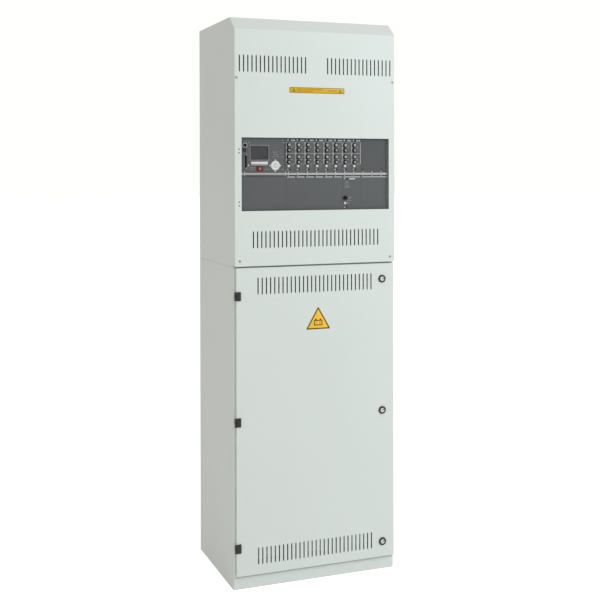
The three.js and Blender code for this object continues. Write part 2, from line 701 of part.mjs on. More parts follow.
function printerConnector() {
  const { width, height, slotWidth, slotHeight } = CONTROL.printer;
  const y0 = PANEL_FACE - 0.8;
  const body = prismY(rectangle(-width / 2, width / 2, -height / 2, height / 2, 1), y0, PANEL_FACE + 16, 1);
  const slot = block(-slotWidth / 2, slotWidth / 2, y0 - 1, PANEL_FACE + 8, -slotHeight / 2, slotHeight / 2);
  return body.subtract(slot);
}

// The sub-rack: side plates, rails above and below the rows, and ears behind the carcass stiles
const RACK = { plateX: 293.5, low: 1358, high: 1652, front: PANEL_BACK + GAP, rear: -44 };

function subrackFrame() {
  const { plateX, low, high, front, rear } = RACK;
  const parts = [];
  for (const side of [-1, 1]) {
    const [near, far] = [side * plateX, side * (plateX + SHEET)].sort((a, b) => a - b);
    parts.push(block(near, far, front, rear, low, high));
    const ear = [side * plateX, side * (SIDE - 5)].sort((a, b) => a - b);
    parts.push(block(ear[0], ear[1], FRAME_FACE + SHEET + GAP, FRAME_FACE + 2 * SHEET + GAP, low, high));
  }
  const bar = 12;
  const rails = [
    [front, front + bar, high - 8, high], [front, front + bar, low, low + 8],
    [rear - 8, rear, high - 8, high], [rear - 8, rear, low, low + 8],
    [rear - 8, rear, ROW_MIDDLE - 6, ROW_MIDDLE + 6],
  ];
  for (const [y0, y1, z0, z1] of rails) parts.push(block(-plateX - 1, plateX + 1, y0, y1, z0, z1));
  return joined(parts);
}

function middleRail() {
  const low = ROW_MIDDLE - 1.6;
  const high = low + 7.6;
  const reach = RACK.plateX - GAP;
  const bar = block(-reach, reach, PANEL_FACE - 1.4, PANEL_FACE + 14, low, high);
  const groove = block(-reach - 1, reach + 1, PANEL_FACE - 3, PANEL_FACE - 0.6, low + 3.2, low + 4.4);
  const keel = block(-reach, reach, PANEL_FACE + 4, PANEL_FACE + 14, ROW_MIDDLE - 5.6, low + 1);
  return bar.subtract(groove).add(keel);
}

function backplane() {
  const rear = RACK.rear - 8 - GAP;
  return block(-290, 290, rear - 2, rear, RACK.low + 10, RACK.high - 10);
}

// A mounting bar on two feet, with a comb of terminal blocks along it
const TERMINALS = { z: 1770, count: 12, pitch: 40, width: 36, height: 54, front: 130, back: 168 };

function terminalStrip() {
  const { z, count, pitch, width, height, front, back } = TERMINALS;
  const bar = block(-262, 262, back, back + 8, z - 18, z + 18);
  const feet = [-1, 1].map((side) => block(
    side * 250 - 10, side * 250 + 10, back + 7, CARCASS_REAR, z - 12, z + 12,
  ));
  const comb = [];
  for (let i = 0; i < count; i += 1) {
    const x = (i - (count - 1) / 2) * pitch;
    comb.push(block(x - width / 2, x + width / 2, front, back + 1, z - height / 2, z + height / 2));
  }
  return joined([bar, ...feet, ...comb]);
}

// Lower cabinet
addPart('lower_shell', lowerShell(), PAINT);
addPart('lower_base', tray(SIDE - SHEET - GAP, FRAME_FACE + FRONT_BEND, CARCASS_REAR - SHEET - GAP,
  FLOOR_TOP, FLOOR_TOP - SHEET - GAP), ZINC);
addPart('lower_back_panel', rearPanel(4, LOWER_HEIGHT - 3), PAINT);
addPart('battery_door', batteryDoor(), PAINT);
addPart('door_gasket', doorGasket(), SEAL_RUBBER);

['bottom', 'middle', 'top'].forEach((level, i) => {
  const hinge = new THREE.Group();
  hinge.position.set(HINGE.x, HINGE.y, DOOR_MIDDLE_Z + (i - 1) * HINGE_SPACING);
  cabinet.add(hinge);
  addPart(`hinge_frame_leaf_${level}`, hingeFrameLeaf(), BLACK_METAL, hinge);
  addPart(`hinge_door_leaf_${level}`, hingeDoorLeaf(), BLACK_METAL, hinge);

  const lock = new THREE.Group();
  lock.position.set(LOCK_X, DOOR_FACE, DOOR_MIDDLE_Z + (i - 1) * LOCK_SPACING);
  cabinet.add(lock);
  addPart(`lock_housing_${level}`, lockHousing(), BLACK_PLASTIC, lock);
  addPart(`lock_core_${level}`, lockCore(), STEEL, lock);

  const shelfTop = FLOOR_TOP + i * LEVEL_PITCH;
  if (i > 0) {
    addPart(`battery_shelf_${level}`, tray(SIDE - SHEET - GAP, FRAME_FACE + 12,
      CARCASS_REAR - SHEET - GAP, shelfTop, 25), ZINC);
  }
  addPart(`battery_string_${level}`, batteryString(), BATTERY_CASE, cabinet, 0, 12, shelfTop + GAP);
});

// Upper cabinet
addPart('upper_shell', upperShell(), PAINT);
addPart('upper_back_panel', rearPanel(UPPER_BASE + 3, HEIGHT - 4), PAINT);
addPart('front_cover', frontCover(), PAINT);
addPart('subrack_frame', subrackFrame(), ZINC);
addPart('middle_rail', middleRail(), ALUMINIUM);
addPart('backplane', backplane(), BOARD);
addPart('terminal_strip', terminalStrip(), GREY_PLASTIC);

// Control unit
addPart('control_panel', controlPanel(), PANEL_GREY);
addPart('display_window', displayWindow(), GLASS);
addPart('softkey_bar', softkeyBar(), WHITE_PLASTIC);
addPart('red_button', redButton(), RED_PLASTIC);
const navPad = new THREE.Group();
navPad.position.set(CONTROL.nav.x, NAV.y, CONTROL.nav.z);
cabinet.add(navPad);
addPart('nav_gimbal', navGimbal(), BLACK_PLASTIC, navPad);
addPart('nav_ring', navRing(), WHITE_PLASTIC, navPad);
addPart('nav_ok_button', roundKey(CONTROL.nav.okRadius, -NAV.front + 0.4, 5.4), WHITE_PLASTIC, navPad);
addPart('keyboard_socket', keyboardSocket(), BLACK_PLASTIC, cabinet, CONTROL.socket.x, 0, CONTROL.socket.z);
addPart('printer_connector', printerConnector(), BLACK_PLASTIC, cabinet,
  CONTROL.printer.x, 0, CONTROL.printer.z);

// Circuit modules, each with its own key
for (let i = 0; i < MODULE_COUNT; i += 1) {
  const slot = new THREE.Group();
  slot.position.set(MODULES_LEFT + i * MODULE_PITCH, 0, ROW.upper);
  cabinet.add(slot);
  addPart(`circuit_module_${i + 1}`, circuitModule(), PANEL_GREY, slot);
  addPart(`info_button_${i + 1}`, roundKey(INFO_BUTTON.radius, INFO_BUTTON.proud, 7.5), WHITE_PLASTIC,
    slot, INFO_BUTTON.x, PANEL_FACE, INFO_BUTTON.z);
}

// Charger module and blank panels
const charger = new THREE.Group();
charger.position.set(CHARGER_LEFT, 0, ROW.lower);
cabinet.add(charger);
addPart('charger_module', chargerModule(), PANEL_GREY, charger);
addPart('charger_button', roundKey(INFO_BUTTON.radius, INFO_BUTTON.proud, 7.5), WHITE_PLASTIC,
  charger, CHARGER.buttonX, PANEL_FACE, CHARGER.buttonZ);
const blanks = [
  ['blank_upper_right', MODULES_RIGHT, ROW.right, ROW.upper],
  ['blank_lower_left', ROW.left, MODULES_LEFT, ROW.lower],
  ['blank_lower_middle', MODULES_LEFT, CHARGER_LEFT, ROW.lower],
  ['blank_lower_right', MODULES_RIGHT, ROW.right, ROW.lower],
];
for (const [name, left, right, bottom] of blanks) {
  addPart(name, blankPanel(right - left), PANEL_GREY, cabinet, left, 0, bottom);
}

export default cabinet;
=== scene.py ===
import json
import math
import random

import bmesh
import bpy
from mathutils import Matrix, Vector


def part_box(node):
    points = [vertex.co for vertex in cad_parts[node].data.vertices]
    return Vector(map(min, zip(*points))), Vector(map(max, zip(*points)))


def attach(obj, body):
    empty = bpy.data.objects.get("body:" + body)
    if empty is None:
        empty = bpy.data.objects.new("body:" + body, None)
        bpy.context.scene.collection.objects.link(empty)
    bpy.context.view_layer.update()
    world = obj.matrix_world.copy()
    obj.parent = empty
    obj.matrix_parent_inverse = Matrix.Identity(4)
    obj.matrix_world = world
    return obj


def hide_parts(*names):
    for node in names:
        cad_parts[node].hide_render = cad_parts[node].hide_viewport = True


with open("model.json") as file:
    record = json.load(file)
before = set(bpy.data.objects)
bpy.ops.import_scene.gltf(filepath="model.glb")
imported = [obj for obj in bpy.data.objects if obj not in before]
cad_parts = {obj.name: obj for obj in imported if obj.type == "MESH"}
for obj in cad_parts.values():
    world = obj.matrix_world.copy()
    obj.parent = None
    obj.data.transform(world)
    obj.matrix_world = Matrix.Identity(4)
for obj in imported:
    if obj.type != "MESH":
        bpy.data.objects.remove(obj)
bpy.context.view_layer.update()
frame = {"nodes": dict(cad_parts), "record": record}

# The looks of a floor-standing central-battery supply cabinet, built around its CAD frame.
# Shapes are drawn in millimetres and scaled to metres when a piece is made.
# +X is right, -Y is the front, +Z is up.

MM = 0.001
LEVELS = ("bottom", "middle", "top")


class Span:
    """The box of a CAD node, in millimetres."""

    def __init__(self, node):
        low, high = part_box(node)
        self.x0, self.y0, self.z0 = low / MM
        self.x1, self.y1, self.z1 = high / MM
        self.x, self.y, self.z = (low + high) / (2 * MM)


DOOR = Span("battery_door")
COVER = Span("front_cover")
CONTROL = Span("control_panel")
MODULES = [Span(f"circuit_module_{i}") for i in range(1, 9)]
CHARGER = Span("charger_module")
RAIL = Span("middle_rail")
PANEL_FACE = Span("blank_upper_right").y0


# ---- materials

def srgb(red, green, blue):
    """A screen colour, 0 to 255 a channel, as the linear light that shaders use."""
    channels = [value / 255 for value in (red, green, blue)]
    return tuple(c / 12.92 if c < 0.04045 else ((c + 0.055) / 1.055) ** 2.4 for c in channels)


def colour_ramp(tree, factor, stops):
    """The colour at `factor` along a ramp of (position, colour)."""
    made = tree.nodes.new("ShaderNodeValToRGB")
    elements = made.color_ramp.elements
    while len(elements) < len(stops):
        elements.new(0.5)
    for element, (position, colour) in zip(elements, stops):
        element.position = position
        element.color = (*colour, 1.0)
    tree.links.new(factor, made.inputs["Fac"])
    return made.outputs["Color"]


def map_range(tree, value, low, high, start=0.0, end=1.0):
    """A node that maps `value` from start..end to low..high."""
    made = tree.nodes.new("ShaderNodeMapRange")
    for name, number in (("From Min", start), ("From Max", end), ("To Min", low), ("To Max", high)):
        made.inputs[name].default_value = number
    tree.links.new(value, made.inputs["Value"])
    return made


class Surface:
    """A procedural material whose patterns are fixed to the object, with scales per metre.

    `slot` is the record's material slot that this surface belongs to. The first surface of a slot
    also dresses the CAD nodes of that slot."""

    by_slot = {}

    def __init__(self, name, slot=None, metallic=0.0, specular=0.5, roughness=0.5):
        self.material = bpy.data.materials.new(name)
        self.material.use_nodes = True
        self.tree = self.material.node_tree
        self.shader = self.tree.nodes["Principled BSDF"]
        self.shader.inputs["Roughness"].default_value = roughness
        self.shader.inputs["Metallic"].default_value = metallic
        self.shader.inputs["Specular IOR Level"].default_value = specular
        self.place = self.node("ShaderNodeTexCoord").outputs["Object"]
        self.slot = slot
        self.by_slot.setdefault(slot, self)

    def node(self, kind):
        return self.tree.nodes.new(kind)

    def link(self, output, socket):
        self.tree.links.new(output, socket)

    def noise(self, scale, detail=2.0, stretch=(1, 1, 1)):
        mapping = self.node("ShaderNodeMapping")
        mapping.inputs["Scale"].default_value = stretch
        self.link(self.place, mapping.inputs["Vector"])
        made = self.node("ShaderNodeTexNoise")
        made.inputs["Scale"].default_value = scale
        made.inputs["Detail"].default_value = detail
        self.link(mapping.outputs["Vector"], made.inputs["Vector"])
        return made.outputs["Fac"]

    def cells(self, scale, output="Color"):
        made = self.node("ShaderNodeTexVoronoi")
        made.inputs["Scale"].default_value = scale
        self.link(self.place, made.inputs["Vector"])
        return made.outputs[output]

    def paint(self, factor, stops):
        """Base colour along a ramp of (position, colour)."""
        self.link(colour_ramp(self.tree, factor, stops), self.shader.inputs["Base Color"])

    def tint(self, factor, colour, spread, cool=0.0):
        """Base colour that wanders by `spread` either side of `colour`, a little cooler at one end."""
        low = tuple(c * (1 - spread) for c in colour)
        high = tuple(c * (1 + spread + cool * i / 2) for i, c in enumerate(colour))
        self.paint(factor, [(0.3, low), (0.7, high)])

    def rough(self, factor, low, high):
        made = map_range(self.tree, factor, low, high, 0.3, 0.7)
        self.link(made.outputs["Result"], self.shader.inputs["Roughness"])

    def bump(self, height, strength, depth_mm):
        made = self.node("ShaderNodeBump")
        made.inputs["Strength"].default_value = strength
        made.inputs["Distance"].default_value = depth_mm * MM
        self.link(height, made.inputs["Height"])
        previous = self.shader.inputs["Normal"]
        if previous.is_linked:
            self.link(previous.links[0].from_socket, made.inputs["Normal"])
        self.link(made.outputs["Normal"], previous)


def surface(name, slot, colour, mottle, sheen, grain=None, **shader):
    """The common kind of surface.

    `mottle` is (scale, detail, spread) of the wandering colour, `sheen` is (scale, low, high) of the
    roughness, and `grain` is (scale, detail, strength, depth in mm) of the fine relief."""
    made = Surface(name, slot, **shader)
    scale, detail, spread = mottle
    made.tint(made.noise(scale, detail), srgb(*colour), spread)
    scale, low, high = sheen
    made.rough(made.noise(scale), low, high)
    if grain:
        scale, detail, strength, depth = grain
        made.bump(made.noise(scale, detail), strength, depth)
    return made


def powder_coat():
    """Satin cabinet paint with a fine orange peel."""
    s = Surface("cabinet_paint", "cabinet_paint", specular=0.42)
    s.tint(s.noise(1.6, 3), srgb(200, 205, 202), 0.012, cool=0.008)
    s.rough(s.noise(90), 0.42, 0.52)
    s.bump(s.noise(520, 1.5), 0.16, 0.12)
    s.bump(s.noise(14, 1), 0.05, 0.5)
    return s


def galvanised():
    """Hot-dip galvanised sheet with its spangle."""
    s = Surface("zinc_sheet", "zinc_sheet", metallic=0.85)
    spangle = s.cells(58)
    s.paint(spangle, [(0.1, srgb(168, 172, 175)), (0.9, srgb(196, 200, 203))])
    s.rough(spangle, 0.34, 0.52)
    s.bump(s.noise(300), 0.08, 0.1)
    return s


def foam(name, colour, spread, roughness, pores):
    """Closed-cell foam; `pores` is the strength and depth in mm of its cells."""
    s = Surface(name, "seal_rubber", specular=0.2, roughness=roughness)
    s.tint(s.noise(250, 3), srgb(*colour), spread)
    s.bump(s.cells(650, "Distance"), *pores)
    s.bump(s.noise(90), 0.3, 0.3)
    return s


def brushed_extrusion():
    """Anodised aluminium, brushed along its length."""
    s = Surface("rail_aluminium", "rail_aluminium", metallic=0.55)
    brushed = s.noise(60, 3, stretch=(0.3, 30, 30))
    s.tint(brushed, srgb(168, 166, 165), 0.05)
    s.rough(brushed, 0.3, 0.46)
    s.bump(brushed, 0.1, 0.03)
    return s


def solder_mask():
    """Circuit board with the faint relief of tracks under its green mask."""
    s = Surface("circuit_board", "circuit_board")
    s.tint(s.noise(120, 1, stretch=(1, 1, 0.12)), srgb(28, 88, 56), 0.25)
    s.rough(s.noise(200), 0.32, 0.48)
    s.bump(s.noise(260, 0, stretch=(1, 1, 0.08)), 0.35, 0.08)
    return s


def tinned_copper():
    """Tinned link bars with copper showing at worn edges."""
    s = Surface("link_copper", "link_copper", metallic=1.0)
    wear = s.noise(160, 4)
    s.paint(wear, [(0.36, srgb(206, 140, 96)), (0.46, srgb(196, 190, 182)), (0.7, srgb(206, 204, 200))])
    s.rough(wear, 0.26, 0.44)
    s.bump(s.noise(900), 0.12, 0.04)
    return s


MOULDED = (1500, 1, 0.1, 0.03)      # the fine grain of most mouldings

cabinet_paint = powder_coat()
# The same coat made paler: a painted highlight on the frame's front edge beside the door, which lies in the
# door's shadow
edge_highlight_paint = surface(
    "edge_highlight_paint", "cabinet_paint", (222, 227, 224), (3, 3, 0.012), (90, 0.42, 0.52),
    (520, 1.5, 0.16, 0.12), specular=0.42)
galvanised()        # a surface without a name is worn by CAD nodes alone
turned_steel = surface(
    "turned_steel", "lock_steel", (205, 206, 208), (400, 2, 0.06), (700, 0.22, 0.4), (1600, 2, 0.1, 0.03),
    metallic=1.0)
# Zinc die-casting of the lock inserts, turned on its face
lock_zinc = surface(
    "lock_zinc", "lock_steel", (206, 209, 208), (400, 2, 0.06), (700, 0.32, 0.5), (1600, 2, 0.12, 0.03),
    metallic=0.85)
# Zinc-plated screw heads, a little dull
plated_screw = surface(
    "plated_screw", "lock_steel", (150, 152, 150), (400, 2, 0.08), (700, 0.38, 0.54),
    (1600, 2, 0.12, 0.03), metallic=0.8)
black_die_cast = surface(
    "black_die_cast", "black_die_cast", (24, 24, 25), (60, 3, 0.2), (300, 0.36, 0.52), (900, 1, 0.3, 0.08))
# Blackened screws
black_steel = surface(
    "black_steel", "black_die_cast", (44, 45, 46), (500, 2, 0.2), (800, 0.32, 0.5), (1500, 2, 0.1, 0.03),
    metallic=0.6)
black_plastic = surface(
    "black_plastic", "black_plastic", (20, 21, 22), (80, 2, 0.15), (500, 0.34, 0.48), (1800, 1, 0.2, 0.04))
# Matt black, deeper than the other black mouldings: in the sockets it is painted shade standing for the
# depth of holes; fuse sleeves and catches wear it too
deep_black_hole_shade = surface(
    "deep_black_hole_shade", "black_plastic", (9, 9, 10), (80, 2, 0.15), (500, 0.54, 0.68), (1800, 1, 0.2, 0.04),
    specular=0.15)
foam("seal_foam", (46, 47, 48), 0.2, 0.92, (0.6, 0.35))
# A grey foam whose tone is painted shade, for the shadowed joints between the two cabinets and under the
# door
seam_shade_foam = foam("seam_shade_foam", (172, 178, 173), 0.06, 0.9, (0.5, 0.3))
battery_case = surface(
    "battery_case", "battery_case", (86, 89, 93), (25, 3, 0.05), (200, 0.42, 0.56), (1100, 1, 0.25, 0.06),
    specular=0.45)
battery_lid = surface(
    "battery_lid", "battery_case", (64, 66, 70), (30, 3, 0.06), (200, 0.38, 0.52), (1100, 1, 0.25, 0.06),
    specular=0.45)
# Front panels: fine-textured dark grey coating, and a copy a shade darker as painted shade on the
# right-hand blank panel, where the key light falls brighter
panel_grey = surface(
    "panel_grey", "panel_grey", (77, 78, 80), (9, 2, 0.03), (350, 0.46, 0.58), (1300, 1, 0.22, 0.05),
    specular=0.4)
panel_painted_shade = surface(
    "panel_painted_shade", "panel_grey", (71, 72, 74), (9, 2, 0.03), (350, 0.5, 0.62), (1300, 1, 0.22, 0.05),
    specular=0.36)
rail_aluminium = brushed_extrusion()
surface(
    "display_glass", "display_glass", (53, 54, 58), (26, 1, 0.07), (40, 0.26, 0.36), (20, 2, 0.02, 0.2),
    specular=0.35)
white_plastic = surface(
    "white_plastic", "white_plastic", (197, 196, 199), (45, 2, 0.015), (300, 0.3, 0.42), MOULDED)
# Light and mid-grey mouldings
key_grey = surface("key_grey", "white_plastic", (178, 179, 180), (45, 2, 0.02), (300, 0.32, 0.44), MOULDED)
shade_plastic = surface(
    "shade_plastic", "white_plastic", (128, 129, 130), (45, 2, 0.02), (300, 0.38, 0.5), MOULDED,
    specular=0.4)
red_plastic = surface("red_plastic", "red_plastic", (172, 68, 64), (70, 2, 0.05), (300, 0.3, 0.42), MOULDED)
red_guard = surface(
    "red_guard", "red_plastic", (66, 12, 12), (70, 2, 0.08), (300, 0.34, 0.46), MOULDED, specular=0.4)
fuse_plastic = surface(
    "fuse_plastic", "fuse_cap", (152, 152, 149), (60, 2, 0.03), (300, 0.28, 0.42), (1500, 1, 0.12, 0.03))
terminal_plastic = surface(
    "terminal_plastic", "terminal_plastic", (158, 161, 160), (40, 2, 0.04), (300, 0.44, 0.56),
    (1200, 1, 0.2, 0.05), specular=0.4)
solder_mask()
# The door sign's foil, and the deeper one of the long strip
sign_yellow = surface(
    "sign_yellow", "sign_yellow", (229, 178, 42), (22, 3, 0.03), (220, 0.32, 0.46), (60, 2, 0.05, 0.1),
    specular=0.3)
sign_gold = surface(
    "sign_gold", "sign_yellow", (202, 158, 3), (22, 3, 0.04), (220, 0.32, 0.46), (60, 2, 0.05, 0.1),
    specular=0.22)
# Their inks: black on the sign, brown-yellow on the strip, and its thin lettering
sign_black = surface(
    "sign_black", "black_plastic", (80, 62, 16), (60, 3, 0.15), (220, 0.36, 0.5), specular=0.2)
sign_ochre = surface(
    "sign_ochre", "sign_yellow", (116, 98, 16), (60, 3, 0.1), (220, 0.38, 0.52), specular=0.3)
sign_print = surface(
    "sign_print", "sign_yellow", (160, 116, 8), (60, 3, 0.08), (220, 0.38, 0.52), specular=0.3)
# Screen-printed lines and marks, and the label inserts and lamps that stand out from them
printed_white = surface(
    "printed_white", "printed_white", (150, 152, 152), (900, 2, 0.06), (400, 0.54, 0.68),
    (2000, 2, 0.1, 0.02), specular=0.3)
bright_white = surface(
    "bright_white", "printed_white", (196, 197, 197), (300, 2, 0.03), (300, 0.4, 0.52),
    (1500, 2, 0.08, 0.02), specular=0.4)
terminal_lead = surface(
    "terminal_lead", "terminal_lead", (150, 152, 155), (200, 3, 0.12), (300, 0.4, 0.62),
    (700, 3, 0.3, 0.08), metallic=0.9)
link_copper = tinned_copper()
pole_red = surface(
    "pole_red", "red_plastic", (178, 34, 30), (120, 2, 0.08), (300, 0.38, 0.52), specular=0.4)
pole_black = surface(
    "pole_black", "black_plastic", (18, 18, 19), (120, 2, 0.12), (300, 0.38, 0.52), specular=0.4)


# ---- shapes

def closed(bm):
    """A finished mesh, with its faces pointing out."""
    bmesh.ops.recalc_face_normals(bm, faces=bm.faces)
    return bm


def soften(bm, edges, bevel, segments=2):
    if bevel:
        bmesh.ops.bevel(bm, geom=edges, offset=bevel, segments=segments, profile=0.5,
                        affect="EDGES")


def slab(x0, x1, y0, y1, z0, z1, bevel=0.4, segments=2):
    """A block with rounded edges."""
    bm = bmesh.new()
    bmesh.ops.create_cube(bm, size=1)
    bmesh.ops.scale(bm, vec=(x1 - x0, y1 - y0, z1 - z0), verts=bm.verts)
    bmesh.ops.translate(bm, vec=((x0 + x1) / 2, (y0 + y1) / 2, (z0 + z1) / 2), verts=bm.verts)
    soften(bm, bm.edges[:], bevel, segments)
    return bm


def rounded(x0, x1, z0, z1, radius, steps=5):
    """The outline (x, z) of a rectangle with round corners."""
    return polygon([(x1, z0), (x1, z1), (x0, z1), (x0, z0)], radius, steps)


def polygon(corners, radius, steps=5):
    """The outline of a convex polygon, given anticlockwise, with round corners."""
    points = []
    count = len(corners)
    for i, corner in enumerate(corners):
        here = Vector(corner)
        back = (Vector(corners[i - 1]) - here).normalized()
        on = (Vector(corners[(i + 1) % count]) - here).normalized()
        half = back.angle(on) / 2
        centre = here + (back + on).normalized() * radius / math.sin(half)
        start = Vector((back.y, -back.x)) * radius
        if start.dot(centre - here) > 0:
            start = -start
        sweep = math.pi - 2 * half
        for step in range(steps + 1):
            turn = sweep * step / steps
            points.append(tuple(centre + Matrix.Rotation(turn, 2) @ start))
    return points


def plate(points, y0, y1, bevel=0.0, segments=2):
    """An outline (x, z) pushed back from y0 to y1, with a rounded front edge."""
    bm = bmesh.new()
    front = [bm.verts.new((x, y0, z)) for x, z in points]
    back = [bm.verts.new((x, y1, z)) for x, z in points]
    bm.faces.new(front)
    bm.faces.new(reversed(back))
    band(bm, back, front)
    closed(bm)
    soften(bm, [e for e in bm.edges if all(v in front for v in e.verts)], bevel, segments)
    return bm


def band(bm, first, second):
    """Faces between two closed loops."""
    for i in range(len(first)):
        j = (i + 1) % len(first)
        bm.faces.new((first[i], first[j], second[j], second[i]))


def ring_plate(outer, inner, y0, y1, bevel=0.0):
    """A frame between two outlines that have the same number of points."""
    bm = bmesh.new()
    loops = [[bm.verts.new((x, y, z)) for x, z in line]
             for line, y in ((outer, y0), (inner, y0), (inner, y1), (outer, y1))]
    for k in range(4):
        band(bm, loops[k], loops[(k + 1) % 4])
    closed(bm)
    edges = [e for e in bm.edges if any(all(v in loop for v in e.verts) for loop in loops[:2])]
    soften(bm, edges, bevel)
    return bm


def stack(rings, centre, axis="Y", sides=32):
    """Rings about a Y or Z axis through `centre`. Each is (radius, distance along the axis), and a
    radius is a number or a function of the angle."""
    bm = bmesh.new()
    loops = []
    for radius, along in rings:
        loop = []
        for k in range(1 if radius == 0 else sides):
            angle = 2 * math.pi * k / sides
            r = radius(angle) if callable(radius) else radius
            a, b = r * math.cos(angle), r * math.sin(angle)
            offset = (a, along, b) if axis == "Y" else (a, b, along)
            loop.append(bm.verts.new(Vector(centre) + Vector(offset)))
        loops.append(loop)
    for first, second in zip(loops, loops[1:]):
        for k in range(sides):
            quad = [first[k % len(first)], first[(k + 1) % len(first)],
                    second[(k + 1) % len(second)], second[k % len(second)]]
            bm.faces.new(list(dict.fromkeys(quad)))
    for loop in (loops[0], loops[-1]):
        if len(loop) > 1:
            bm.faces.new(loop)
    return closed(bm)


def tube(rings, centre, axis="Y", sides=32):
    """A `stack` that closes on itself, so that it has a way through."""
    bm = stack(rings + [rings[0]], centre, axis, sides)
    caps = [face for face in bm.faces if len(face.verts) > 4]
    bmesh.ops.delete(bm, geom=caps, context="FACES_ONLY")
    bmesh.ops.remove_doubles(bm, verts=bm.verts, dist=1e-4)
    return closed(bm)


def hexagon(flat):
    """Radius at an angle of a hexagon, `flat` from its middle to each side."""
    third = math.pi / 3
    return lambda angle: flat / math.cos((angle + third / 2) % third - third / 2)


def cross(arm, half_width):
    """Radius at an angle of an upright cross."""
    def radius(angle):
        across, along = sorted((abs(math.cos(angle)), abs(math.sin(angle))))
        reach = arm / along
        return reach if across * reach <= half_width else half_width / across
    return radius


def single_bit(core, reach, half_width, direction):
    """Radius at an angle of a round hole with one slot, which points along `direction`."""
    def radius(angle):
        along, across = math.cos(angle - direction), abs(math.sin(angle - direction))
        if along <= 0:
            return core
        return max(core, min(reach / along, half_width / max(across, 1e-6)))
    return radius


def screw(x, y, z, radius, height, front=-1):
    """A pan-head screw with a cross recess, standing `height` out of the surface at y."""
    recess = cross(radius * 0.55, radius * 0.13)
    face = front * height
    rings = [(radius, 0.0), (radius, face * 0.55), (radius * 0.93, face * 0.82),
             (radius * 0.74, face), (recess, face), (recess, face * 0.35)]
    return stack(rings, (x, y, z), sides=24)


def mesh_of(name, bm):
    mesh = bpy.data.meshes.new(name)
    bm.to_mesh(mesh)
    bm.free()
    return mesh


def put(name, data):
    """A new object in the scene."""
    made = bpy.data.objects.new(name, data)
    bpy.context.scene.collection.objects.link(made)
    return made


def piece(name, surface, parts, body="cabinet", replaces=None, sharp=32):
    """Joins shapes in millimetres into one object that rides on a body."""
    whole = bmesh.new()
    for part in parts:
        mesh = mesh_of("part", part)
        whole.from_mesh(mesh)
        bpy.data.meshes.remove(mesh)
    bmesh.ops.scale(whole, vec=(MM, MM, MM), verts=whole.verts)
    mesh = mesh_of(name, whole)
    mesh.shade_smooth()
    mesh.set_sharp_from_angle(angle=math.radians(sharp))
    mesh.materials.append(surface.material)
    made = put(name, mesh)
    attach(made, body)
    if replaces:
        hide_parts(replaces)


# ---- CAD parts that stay

def dress_frame():
    """Gives every CAD node the surface of its material slot, and one blank panel a darker copy as painted
    shade.
    """
    for part in frame["record"]["subparts"]:
        materials = frame["nodes"][part["node"]].data.materials
        materials.clear()
        materials.append(Surface.by_slot[part["material_slot"]].material)
    blank = frame["nodes"]["blank_upper_right"].data.materials
    blank.clear()
    blank.append(panel_painted_shade.material)


# ---- lower cabinet

def hinges():
    """Die-cast surface hinges: a lug on the frame, a leaf on the door, and the pin between them."""
    for level in LEVELS:
        fixed = Span(f"hinge_frame_leaf_{level}")
        leaf = Span(f"hinge_door_leaf_{level}")
        barrel = 3.3
        x = fixed.x0 + barrel
        y = leaf.y0 + 3.5
        half = 5.3
        split = half + 0.3
        top = leaf.z1 - leaf.z
        knuckle = stack([(0, -half), (barrel - 0.4, -half), (barrel, -half + 0.4),
                         (barrel, half - 0.4), (barrel - 0.4, half), (0, half)],
                        (x, y, leaf.z), axis="Z")
        lug = slab(x + 1, x + 3.1, y, fixed.y1, leaf.z - half, leaf.z + half, 0.4)
        pin = stack([(0, 1 - top), (1.6, 1 - top), (1.6, top - 1), (0, top - 1)], (x, y, leaf.z),
                    axis="Z", sides=20)
        piece(f"hinge_frame_leaf_{level}_fine", black_die_cast, [knuckle, lug, pin],
              replaces=f"hinge_frame_leaf_{level}")
        face = leaf.y0 + 0.3
        parts = [slab(x + barrel + 0.3, leaf.x1, face, leaf.y1, leaf.z0, leaf.z1, 1.1, 3)]
        for z0, z1 in ((split, top), (-top, -split)):
            parts.append(tube([(1.9, z0), (barrel - 0.4, z0), (barrel, z0 + 0.4),
                               (barrel, z1 - 0.4), (barrel - 0.4, z1), (1.9, z1)],
                              (x, y, leaf.z), axis="Z"))
            parts.append(slab(x, x + barrel + 1, leaf.y0 + 0.2, leaf.y1,
                              leaf.z + z0, leaf.z + z1, 0.4))
        piece(f"hinge_door_leaf_{level}_fine", black_die_cast, parts, body="door",
              replaces=f"hinge_door_leaf_{level}")
        middle = (x + barrel + leaf.x1) / 2 + 0.5
        heads = [stack([(3.1, 0.2), (3.1, -0.1), (2.4, -0.25), (hexagon(1.35), -0.25),
                        (hexagon(1.35), 1.2)], (middle, face, leaf.z + side * top * 0.52),
                       sides=24) for side in (-1, 1)]
        piece(f"hinge_screws_{level}", black_steel, heads, body="door")


